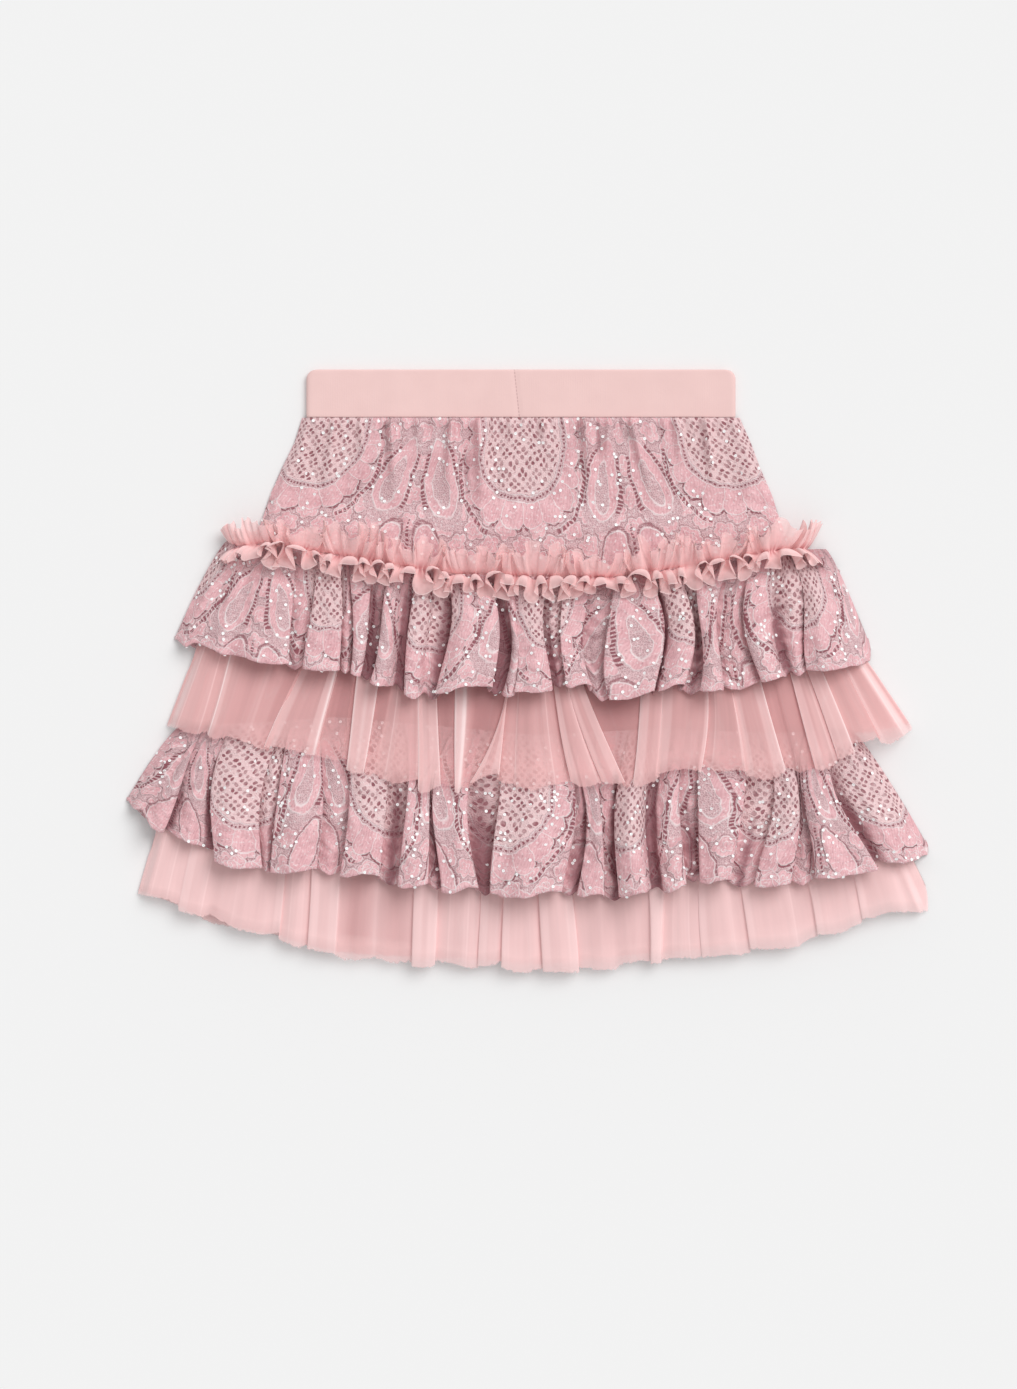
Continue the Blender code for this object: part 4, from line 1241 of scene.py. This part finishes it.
class SkirtColours(bpy.types.PropertyGroup):
    """Colours of the cloths and trims, and of the painted light and shade on them."""
    band: cloth_colour("Waistband colour", "#F4D0CC")
    stitch: cloth_colour("Stitch colour", "#C9A3A2")
    base: cloth_colour("Foundation colour", "#B26A70")
    petal: cloth_colour("Close lace, light", "#F2C5C9")
    petal_low: cloth_colour("Close lace, dark", "#D59FA5")
    ground: cloth_colour("Lace ground, light", "#E9C6C9")
    ground_dark: cloth_colour("Lace ground, dark", "#AC7F86")
    net: cloth_colour("Lace net colour", "#F3D2D3")
    # the lining's rose seen through the lace's holes, darkened by painted shade
    hole: cloth_colour("Lace hole colour", "#94505A")
    # tint of the painted shade in the hollows of the lace's folds
    painted_shade_tint: cloth_colour("Lace deep in a fold", "#864F57")
    cord: cloth_colour("Cord colour", "#F5EAEA")
    tulle: cloth_colour("First tulle colour", "#FFC3C2")
    # painted light: paler tint of the first tulle where it covers closely, on its lips and creases
    tulle_painted_light: cloth_colour("First tulle where folded", "#FFE4E3")
    skirt_tulle: cloth_colour("Second tulle colour", "#FFCCCB")
    # painted light: paler tint of the second tulle where it covers closely, on its lips and creases
    skirt_tulle_painted_light: cloth_colour("Second tulle where folded", "#FFDBDA")
    ruche: cloth_colour("Ruche colour", "#FFCFCE")
    # painted light: paler tint of the ruche where it covers closely and on its cut edges
    ruche_painted_light: cloth_colour("Ruche where folded", "#FFE2E1")
    # painted shade where the ruche is pinched
    ruche_deep: cloth_colour("Ruche where pinched", "#C9787D")
    sequin: cloth_colour("Sequin colour", "#FFFFFF")
    floor: cloth_colour("Floor colour", "#F2F2F2")


class SkirtSizes(bpy.types.PropertyGroup):
    """Sizes that shape the pieces, and how closely the tulle covers."""
    band_width: length_setting("Waistband width", 268.0, 100.0, "Width of the waistband laid flat")
    band_depth: length_setting("Waistband depth", 30.0, 5.0, "Depth of the waistband")
    sequin: length_setting("Sequin", 2.1, 0.5, "Diameter of a sequin")
    ruche_wave: length_setting("Ruche gather", 10.0, 3.0, "Length of one gather of the ruche")
    first_cover: cover_setting("First tulle cover", 0.62,
                               "Share that one sheet of the first tulle hides")
    second_cover: cover_setting("Second tulle cover", 0.86,
                                "Share that one sheet of the second tulle hides")


# --------------------------------------------------------------------------- pieces

def band_ring(half, down, offset):
    """One closed ring of points round the flattened band, offset in from its face."""
    high = BAND_HALF - offset
    rounded = math.sqrt(BAND_CORNER ** 2 - max(0.0, BAND_CORNER - down) ** 2)
    wide = half - BAND_CORNER + rounded - offset - high
    across = np.linspace(-1.0, 1.0, 161) * wide
    turns = np.linspace(0.5 * math.pi, -0.5 * math.pi, 9)[1:-1]
    x = np.concatenate((across, wide + high * np.cos(turns),
                        across[::-1], -wide - high * np.cos(turns)))
    z = np.concatenate((high + 0.0 * across, high * np.sin(turns),
                        -high + 0.0 * across, -high * np.sin(turns)))
    if offset < 0.1:
        seam = BAND_SEAM + BAND_LEAN * down / BAND_JOIN
        z = z - np.where(z > 0, 0.3 * np.exp(-((x - seam) / 0.8) ** 2), 0.0)
        z = z + np.where(z > 0, 0.1 * ripple(x, down, 50.0, 5), 0.0)
    return np.append(x, x[0]), np.append(z, z[0]) + BAND_HALF


def band_section(depth):
    """Depth, and distance in from the face, of the points round a section of the band's wall."""
    edge = 0.5 * BAND_WALL
    turns = np.linspace(0.0, math.pi, 9)[1:-1]
    places = [(place, 0.0) for place in np.linspace(depth - edge, edge, 26)]
    places += [(edge - edge * math.sin(turn), edge - edge * math.cos(turn)) for turn in turns]
    places += [(place, BAND_WALL) for place in np.linspace(edge, depth - edge, 10)]
    places += [(depth - edge + edge * math.sin(turn), edge - edge * math.cos(turn))
               for turn in turns[::-1]]
    return places + places[:1]


class SKIRT_OT_waistband(bpy.types.Operator):
    """Make the covered elastic waistband"""
    bl_idname = "skirt.waistband"
    bl_label = "Waistband"

    def execute(self, context):
        colours, sizes = context.scene.skirt_colours, context.scene.skirt_sizes
        width, depth = in_mm(sizes.band_width), in_mm(sizes.band_depth)
        section = band_section(depth)[::-1]
        rings = [band_ring(0.5 * width, place, offset) for place, offset in section]
        x, z = (np.stack(part) for part in zip(*rings))
        steps = np.array([place for place, offset in section])
        down = np.broadcast_to(steps[:, None], x.shape)
        along = running(np.hypot(np.diff(x[-1]), np.diff(z[-1])))
        item = cloth_sheet("waistband", (x, down, z), along, steps, {})
        finish_cloth(item, band_material(colours.band, colours.stitch, depth),
                     (2.0 * width, depth))
        return {'FINISHED'}


def base_layer(lift, shorter, waves, steps):
    """Points of one side of the foundation, which comes down past the hem of lace tier 2."""
    across = np.linspace(0.0, 1.0, 160)[None, :]
    hem_x = mix(BASE_SIDES[-1].left, BASE_SIDES[-1].right, across)
    hem = look_up(BASE_HEM, "x", "down", hem_x) - shorter
    down = mix(BAND_JOIN, hem, steps)
    x = mix(look_up(BASE_SIDES, "down", "left", down), look_up(BASE_SIDES, "down", "right", down),
            across)
    held = look_up(LACE_2.folds, "hem", "down", hem_x)
    held = np.minimum(held + BASE_HELD, hem - BASE_HELD)
    z = mix(look_up(CLIMB, "down", "base", down), BASE_HEM_HEIGHT,
            np.clip((down - held) / (hem - held), 0.0, 1.0))
    z = z + lift + HALF_WALL
    return x, down, z + waves * (1.0 + ripple(x, down * 0.1, 24.0, 11))


class SKIRT_OT_base(bpy.types.Operator):
    """Make the plain foundation under the tiers"""
    bl_idname = "skirt.base"
    bl_label = "Foundation"

    def execute(self, context):
        steps = np.linspace(0.0, 1.0, 60)[:, None]
        points, along = tube(base_layer(BASE_GAP, 0.0, BASE_WAVE, steps),
                             base_layer(0.0, BACK_SHORTER, 0.0, steps))
        item = cloth_sheet("base", points, along, steps[:, 0] * BASE_LENGTH, {})
        finish_cloth(item, lining_material(context.scene.skirt_colours.base),
                     (along[-1], BASE_LENGTH))
        return {'FINISHED'}


def yoke_layer(columns, past_seam, steps):
    """x and depth of one side of the yoke, which ends some way past the hip seam, with x at its
    lower edge and the way in from its sides."""
    across = np.linspace(0.0, 1.0, columns)[None, :]
    low_x = mix(YOKE_SIDES[-1].left, YOKE_SIDES[-1].right, across)
    down = mix(BAND_JOIN, look_up(HIP_SEAM, "x", "down", low_x) + past_seam, steps)
    left = look_up(YOKE_SIDES, "down", "left", down)
    right = look_up(YOKE_SIDES, "down", "right", down)
    x = mix(left, right, across)
    return x, down, low_x, np.minimum(x - left, right - x)


def yoke_relief(x, down, low_x):
    """Height of the gathers under the waistband, and of the soft rolls and crumples below."""
    start = ease((down - 29.6) / 3.4)
    gather = YOKE_GATHER_RISE * start * (1.0 - ease((down - BAND_JOIN) / YOKE_GATHER_REACH))
    uneven = 1.7 * ripple(x, 0.0, 30.0, 21)
    z = gather * (1.0 + np.sin(2.0 * math.pi * x / YOKE_GATHER + uneven))
    z = z + start * crease_height(YOKE_CREASES, x, down)
    fade = 0.35 + 0.65 * np.exp(-((down - 62.0) / 26.0) ** 2)
    ridge = ripple(mix(low_x, x, 0.5), down * 0.12, 40.0, 22)
    z = z + start * fade * np.abs(ridge) ** 0.7
    z = z + 0.3 * start * ripple(x, down, 17.0, 23)
    return z + 0.4 * start * crinkle(x, down, 12.0, 24)


class SKIRT_OT_yoke(bpy.types.Operator):
    """Make the lace yoke over the foundation"""
    bl_idname = "skirt.yoke"
    bl_label = "Yoke"

    def execute(self, context):
        steps = np.linspace(0.0, 1.0, 56)[:, None]
        x, down, low_x, near = yoke_layer(YOKE_COLUMNS, 2.0, steps)
        high = look_up(CLIMB, "down", "yoke_front", down) + yoke_relief(x, down, low_x)
        edge = look_up(CLIMB, "down", "yoke_back", down) + YOKE_SIDE_GAP
        front = (x, down, mix(edge, high, ease(near / 5.0)))
        x, down, _, _ = yoke_layer(YOKE_BACK_COLUMNS, -1.0, steps)
        points, along = tube(front, (x, down, look_up(CLIMB, "down", "yoke_back", down)))
        # painted shade in the hollows between the yoke's creases and gathers
        deep = np.zeros(points[0].shape)
        started = ease((front[1] - BAND_JOIN) / 3.0)[:, :1]
        deep[:, :YOKE_COLUMNS] = 0.75 * hollow(front[2], YOKE_HOLLOW) * started
        item = cloth_sheet("yoke", points, along, steps[:, 0] * YOKE_LENGTH, {"deep": deep})
        material = lace_material("corded lace of the yoke", context.scene.skirt_colours,
                                 18.0, -172.0, 0.0)
        finish_cloth(item, material, (along[-1], YOKE_LENGTH))
        return {'FINISHED'}


def make_tier(name, tier, back, cloth, seed):
    """A tier as one tube of cloth, gathered at its seam and open at its hem, with its flat size."""
    steps = np.linspace(0.0, 1.0, int(round(tier.cut / cloth.row)) + 1)

    def front(turn, step):
        return tier_front(tier, back, cloth, turn, step, seed)

    # The last row of the folds only closes the one before, so the turns stop just short of it
    turns = even_turns(front, len(tier.folds) - 1.0 - 1e-6, cloth.pitch)
    width = abs(tier.folds[-1].hem - tier.folds[0].hem)
    across = np.linspace(0.0, 1.0, int(width / (BACK_PITCH * cloth.pitch)))[None, :]
    points, along = tube(full_grid(front(turns, steps[:, None])),
                         full_grid(tier_back(tier, back, across, steps[:, None])))
    down = steps * tier.cut
    if cloth.edge:
        points, down = roll_hem(points, down)
    stored = {key: np.zeros(points[0].shape) for key in ("thin", "lip", "deep")}
    fade = ease(np.linspace(0.0, 4.0, len(down)))[:, None]
    shown = slice(0, turns.shape[1])
    stored["thin"][:, shown] = open_share(tier, turns) * fade
    stored["lip"][:, shown] = lip_share(tier, turns, cloth.wall) * fade
    # painted shade in the hollows between the folds and on the gathers near the seam
    stored["deep"][:, shown] = hollow(points[2][:, shown], TIER_HOLLOW)
    gathers = SEAM_SHADE * (1.0 - ease(down / SEAM_SHADE_REACH))
    stored["deep"] = np.maximum(stored["deep"], gathers[:, None])
    return cloth_sheet(name, points, along, down, stored), (along[-1], down[-1])


class SKIRT_OT_lace_tiers(bpy.types.Operator):
    """Make the two gathered tiers of lace"""
    bl_idname = "skirt.lace_tiers"
    bl_label = "Lace tiers"

    def execute(self, context):
        for number, tier, back in ((1, LACE_1, LACE_1_BACK), (2, LACE_2, LACE_2_BACK)):
            item, flat = make_tier("lace_tier_%d" % number, tier, back, LACE_CLOTH, 100 * number)
            material = lace_material("corded lace of tier %d" % number,
                                     context.scene.skirt_colours, tier.cut - FAN_ABOVE_HEM,
                                     17.0 * number, tier.cut + 1.0)
            finish_cloth(item, material, flat)
        return {'FINISHED'}


class SKIRT_OT_tulle_tiers(bpy.types.Operator):
    """Make the two gathered tiers of tulle"""
    bl_idname = "skirt.tulle_tiers"
    bl_label = "Tulle tiers"

    def execute(self, context):
        colours, sizes = context.scene.skirt_colours, context.scene.skirt_sizes
        for number, tier, back, cloth, share, tint, light in (
                (1, TULLE_1, TULLE_1_BACK, TULLE_CLOTH, sizes.first_cover,
                 colours.tulle, colours.tulle_painted_light),
                (2, TULLE_2, TULLE_2_BACK, SKIRT_CLOTH, sizes.second_cover,
                 colours.skirt_tulle, colours.skirt_tulle_painted_light)):
            item, flat = make_tier("tulle_tier_%d" % number, tier, back, cloth,
                                   200 + 100 * number)
            veil(item, share)
            material = sheer_material("fine tulle of tier %d" % number, tint, light,
                                      hem=tier.cut)
            finish_cloth(item, material, flat)
        return {'FINISHED'}


def ruche_shares():
    """Places of the rows across the strip, from 1 at the lower edge to -1 at the upper one."""
    rows = np.linspace(1.0, 0.06, RUCHE_ROWS)
    return np.concatenate((rows, [0.0], -rows[::-1]))[:, None]


def ruche_layer(front, gather):
    """Points of the ruche's front or back, with columns round it and rows up from its lower edge."""
    share = ruche_shares()
    waves = 2.0 * RUCHE_HALF / gather
    turn = np.linspace(0.0, waves, int(waves * (20 if front else 10)) + 1)[None, :]
    x = mix(-RUCHE_HALF, RUCHE_HALF, turn / waves)
    line = look_up(RUCHE, "x", "down", x)
    size = np.abs(share)
    phase = 2.0 * math.pi * turn + 1.5 * ripple(turn, 0.0, 4.0, 31)
    phase = phase + 0.7 * ripple(turn, 0.0, 1.7, 30)
    uneven = 1.0 + 0.14 * ripple(turn, 0.0, 6.0, 33) + 0.14 * ripple(turn, 0.0, 1.1, 34)
    if front:
        return ruche_front(x, line, turn, share, size, phase, uneven)
    z = 0.55 + 0.12 * size * (1.0 + np.sin(phase)) + 0.0 * x
    return x + 0.0 * share, line + np.sign(share) * size * RUCHE_REACH * uneven, z


def ruche_front(x, line, turn, share, size, phase, uneven):
    """The two frills of the ruche, which stand up, lie over, twist and flutter by their styles."""
    lower = share > 0

    def style(name):
        return np.where(lower, getattr(LOWER_FRILL, name), getattr(UPPER_FRILL, name))

    off = np.abs(x)
    end = ease((off - 138.0) / 26.0)        # 1 at the ends, where the frills lie over further
    steady = ease((174.0 - off) / 16.0)     # 0 at the very ends, where they sway less
    raised = ease((RUCHE_HALF - off) / 26.0)
    strong = np.clip(1.0 + 0.45 * ripple(turn, 0.0, 4.0, 32), 0.5, 1.6)
    phase = phase + 1.3 * share * ripple(turn, 0.0, 9.0, 37)
    fine = 2.0 * math.pi * turn * 2.3 + 2.4 * ripple(turn, 0.0, 1.9, 39)
    flutter = np.where(lower, 0.25 * np.sin(2.7 * phase), 0.6 * np.sin(fine)) * size
    swing = size ** 0.6 * strong * (np.sin(phase) + flutter)
    wave = mix(style("wave"), style("wave_end"), end) * swing
    tilt = mix(style("tilt"), style("tilt_end"), end) + 9.0 * ripple(turn, 0.0, 7.0, 36)
    tilt = np.radians(tilt)
    tuft = 0.16 * np.sin(phase + 0.6) + 0.07 * np.sin(fine + 1.0)
    reach = np.where(lower, look_up(RUCHE, "x", "lower", x), look_up(RUCHE, "x", "upper", x))
    run = reach * style("reach") * mix(uneven, 1.0, end) * (1.0 + np.where(lower, 0.0, tuft))
    run = run * (0.4 * size + 0.6 * size * size)
    down = line + np.where(lower, 1.0, -1.0) * (run + wave * np.sin(tilt))

    z = mix(RUCHE_END_HEIGHT, RUCHE_HEIGHT, raised)
    z = z + style("high") * (1.0 - (1.0 - size) ** 2.0) - wave * np.cos(tilt)
    twist = style("twist") * size * strong * np.sin(2.0 * phase)
    pleat = np.where(lower, 0.0, -0.7) * size * np.sin(2.0 * fine)
    fall = style("fall") * size * ripple(turn, 0.0, 2.6, 35)
    fan = 7.5 * size * np.sign(x) * ease((off - 140.0) / 36.0)
    sway = mix(0.45, 1.0, steady) * (twist + pleat + fall)
    return x + fan + sway, down, np.maximum(z, RUCHE_LEAST_HEIGHT)


def ruche_end(front, back, sign):
    """Columns that carry the strip round an end, puffed out and fluted."""
    edge = -1 if sign > 0 else 0
    across = np.linspace(-1.0, 1.0, len(front[0]))
    size = np.abs(across)
    columns = []
    for number in range(1, RUCHE_TURN):
        share = number / RUCHE_TURN
        gone = share if sign > 0 else 1.0 - share
        x, down, z = (mix(a[:, edge], b[:, edge], gone) for a, b in zip(front, back))
        puff = math.sin(math.pi * share)
        flute = math.sin(share * math.pi * 10.0) * 2.4 * size * puff
        x = x + sign * puff * (3.0 + 3.0 * size) + flute
        down = down - flute * 0.8 * np.sign(across)
        columns.append((x, down, z + 2.6 * size * math.cos(share * math.pi * 10.0) * puff))
    return [np.stack(part, axis=1) for part in zip(*columns)]


class SKIRT_OT_ruche(bpy.types.Operator):
    """Make the double-edged gathered ruche of tulle"""
    bl_idname = "skirt.ruche"
    bl_label = "Ruche"

    def execute(self, context):
        colours = context.scene.skirt_colours
        gather = in_mm(context.scene.skirt_sizes.ruche_wave)
        front, back = (ruche_layer(shown, gather) for shown in (True, False))
        layers = (front, ruche_end(front, back, 1.0), [part[:, ::-1] for part in back],
                  ruche_end(front, back, -1.0), [part[:, :1] for part in front])
        points = [np.concatenate(parts, axis=1)[::-1] for parts in zip(*layers)]
        x, down, z = (part[-1] for part in points)
        along = running(np.hypot(np.hypot(np.diff(x), np.diff(z)), np.diff(down)))

        middle = 0.5 * RUCHE_DEPTH
        steps = np.concatenate((np.linspace(0.0, middle - 1.0, RUCHE_ROWS), [middle],
                                np.linspace(middle + 1.0, RUCHE_DEPTH, RUCHE_ROWS)))
        share = ruche_shares()[::-1]
        thin = np.where(share > 0, LOWER_FRILL.thin, UPPER_FRILL.thin) * np.abs(share) ** 1.2
        thin = thin * ease((174.0 - np.abs(points[0])) / 20.0)
        item = cloth_sheet("ruche", points, along, steps, {"thin": thin})
        veil(item, RUCHE_COVER)
        material = sheer_material("gathered tulle of the ruche", colours.ruche,
                                  colours.ruche_painted_light, width=RUCHE_DEPTH, deep=colours.ruche_deep)
        spans = [sum(np.diff(part, axis=axis) ** 2 for part in points) ** 0.5 for axis in (1, 0)]
        flat = (float(spans[0].sum(axis=1).mean()), float(spans[1].sum(axis=0).mean()))
        finish_cloth(item, material, flat)
        return {'FINISHED'}


def scattered(host, count, radius, seed):
    """Middles and normals of faces of a cloth, drawn at random in loose clusters and apart."""
    draw = np.random.RandomState(seed)
    faces = host.data.polygons
    areas = np.empty(len(faces))
    faces.foreach_get("area", areas)
    centres, normals = np.empty((2, len(faces) * 3))
    faces.foreach_get("center", centres)
    faces.foreach_get("normal", normals)
    centres = centres.reshape(-1, 3)
    normals = normals.reshape(-1, 3)
    x, y = centres[:, :2].T * 1000.0
    weight = 0.2 + np.clip(ripple(x, y, 34.0, seed), 0, 2)
    weight = weight + np.clip(ripple(x, y, 15.0, seed + 9) - 0.3, 0, 2)
    weight = weight * areas
    chosen = draw.choice(len(faces), size=count * 2, replace=False, p=weight / weight.sum())
    kept = []
    for index in chosen:
        place = centres[index]
        apart = (np.hypot(*(place[:2] - other[:2])) > 1.9 * radius * MM or
                 abs(place[2] - other[2]) > 0.004 for other, _ in kept)
        if all(apart):
            kept.append((place, normals[index]))
            if len(kept) == count:
                break
    return kept, draw


def scatter(name, host, count, radius, seed):
    """Small cupped discs on a cloth, each tipped a little."""
    kept, draw = scattered(host, count, radius, seed)
    vertices, faces = [], []
    for place, normal in kept:
        tip = normal + draw.normal(0.0, 0.16, 3)
        tip = tip / np.linalg.norm(tip)
        side = np.cross(tip, (0.3, 0.9, 0.2))
        side = side / np.linalg.norm(side)
        other = np.cross(tip, side)
        start = len(vertices)
        middle = place + tip * 0.3 * MM
        for reach, height in SEQUIN_RINGS:
            for corner in range(SEQUIN_CORNERS):
                angle = 2.0 * math.pi * corner / SEQUIN_CORNERS
                out = side * math.cos(angle) + other * math.sin(angle)
                point = middle + out * reach * radius * MM + tip * height * MM
                vertices.append((point[0], point[1], max(point[2], FLOOR_CLEAR * MM)))
        for ring in range(len(SEQUIN_RINGS) - 1):
            for corner in range(SEQUIN_CORNERS):
                a = start + ring * SEQUIN_CORNERS + corner
                b = start + ring * SEQUIN_CORNERS + (corner + 1) % SEQUIN_CORNERS
                faces.append((a, a + SEQUIN_CORNERS, b + SEQUIN_CORNERS, b))
    mesh = bpy.data.meshes.new(name)
    mesh.from_pydata(vertices, [], faces)
    item = bpy.data.objects.new(name, mesh)
    bpy.context.scene.collection.objects.link(item)
    mesh.shade_smooth()
    return item


class SKIRT_OT_sequins(bpy.types.Operator):
    """Scatter small cupped sequins over the lace"""
    bl_idname = "skirt.sequins"
    bl_label = "Sequins"

    def execute(self, context):
        radius = 0.5 * in_mm(context.scene.skirt_sizes.sequin)
        # Stamped from thin pearly plastic film, which is smooth and fairly glossy
        material = even_material("pearly silver sequin", context.scene.skirt_colours.sequin,
                                 0.3, 0.5)
        for name, host, count, seed in (("yoke_sequins", "yoke", 420, 51),
                                        ("lace_1_sequins", "lace_tier_1", 700, 52),
                                        ("lace_2_sequins", "lace_tier_2", 860, 53)):
            item = scatter(name, bpy.data.objects[host], count, radius, seed)
            item.data.materials.append(material)
            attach(item, "root")
        return {'FINISHED'}


# --------------------------------------------------------------------------- stage

class SKIRT_OT_stage(bpy.types.Operator):
    """Lay a pale floor and set the light and the camera"""
    bl_idname = "skirt.stage"
    bl_label = "Stage"

    def execute(self, context):
        scene = context.scene
        bpy.ops.object.select_all(action='DESELECT')
        bpy.ops.mesh.primitive_plane_add(size=FLOOR_SIZE)
        floor = context.object
        floor.name = "floor"
        for vertex in floor.data.vertices:
            vertex.co.z = -0.2 * MM
        material = even_material("pale paper floor", scene.skirt_colours.floor, 0.9, 0.0)
        floor.data.materials.append(material)

        scene.world = scene.world or bpy.data.worlds.new("studio")
        scene.world.use_nodes = True
        feed(scene.world.node_tree.nodes["Background"], {"Color": (1.0, 1.0, 1.0, 1.0),
                                                         "Strength": WORLD_LIGHT})
        lamp_data = bpy.data.lights.new("softbox", 'SUN')
        lamp_data.angle = math.radians(40.0)
        lamp_data.energy = SUN_LIGHT
        lamp = bpy.data.objects.new("softbox", lamp_data)
        lamp.location = SUN_PLACE
        lamp.rotation_mode = 'QUATERNION'
        lamp.rotation_quaternion = (-lamp.location).to_track_quat('-Z', 'Y')
        scene.collection.objects.link(lamp)

        camera_data = bpy.data.cameras.new("camera")
        camera_data.lens = CAMERA_LENS
        camera_data.sensor_width = 36.0
        camera = bpy.data.objects.new("camera", camera_data)
        camera.location = CAMERA_PLACE
        scene.collection.objects.link(camera)
        scene.camera = camera
        scene.view_settings.view_transform = 'Standard'
        return {'FINISHED'}


class SKIRT_PT_panel(bpy.types.Panel):
    """Builds the pieces of the skirt, one by one"""
    bl_idname = "SKIRT_PT_panel"
    bl_label = "Tiered lace skirt"
    bl_space_type = 'VIEW_3D'
    bl_region_type = 'UI'
    bl_category = "Skirt"

    def draw(self, context):
        for operator in OPERATORS:
            self.layout.operator(operator.bl_idname)
        for group in (context.scene.skirt_colours, context.scene.skirt_sizes):
            for name in group.bl_rna.properties.keys():
                if name not in ("rna_type", "name"):
                    self.layout.prop(group, name)


OPERATORS = (
    SKIRT_OT_waistband,
    SKIRT_OT_base,
    SKIRT_OT_yoke,
    SKIRT_OT_tulle_tiers,
    SKIRT_OT_lace_tiers,
    SKIRT_OT_ruche,
    SKIRT_OT_sequins,
    SKIRT_OT_stage,
)
CLASSES = (SkirtColours, SkirtSizes) + OPERATORS + (SKIRT_PT_panel,)


def register():
    for item in CLASSES:
        bpy.utils.register_class(item)
    bpy.types.Scene.skirt_colours = bpy.props.PointerProperty(type=SkirtColours)
    bpy.types.Scene.skirt_sizes = bpy.props.PointerProperty(type=SkirtSizes)


def unregister():
    del bpy.types.Scene.skirt_sizes
    del bpy.types.Scene.skirt_colours
    for item in reversed(CLASSES):
        bpy.utils.unregister_class(item)


def main():
    """Make every piece and the stage."""
    register()
    bpy.ops.skirt.waistband()
    bpy.ops.skirt.base()
    bpy.ops.skirt.yoke()
    bpy.ops.skirt.tulle_tiers()
    bpy.ops.skirt.lace_tiers()
    bpy.ops.skirt.ruche()
    bpy.ops.skirt.sequins()
    bpy.ops.skirt.stage()


if __name__ == "__main__":
    main()
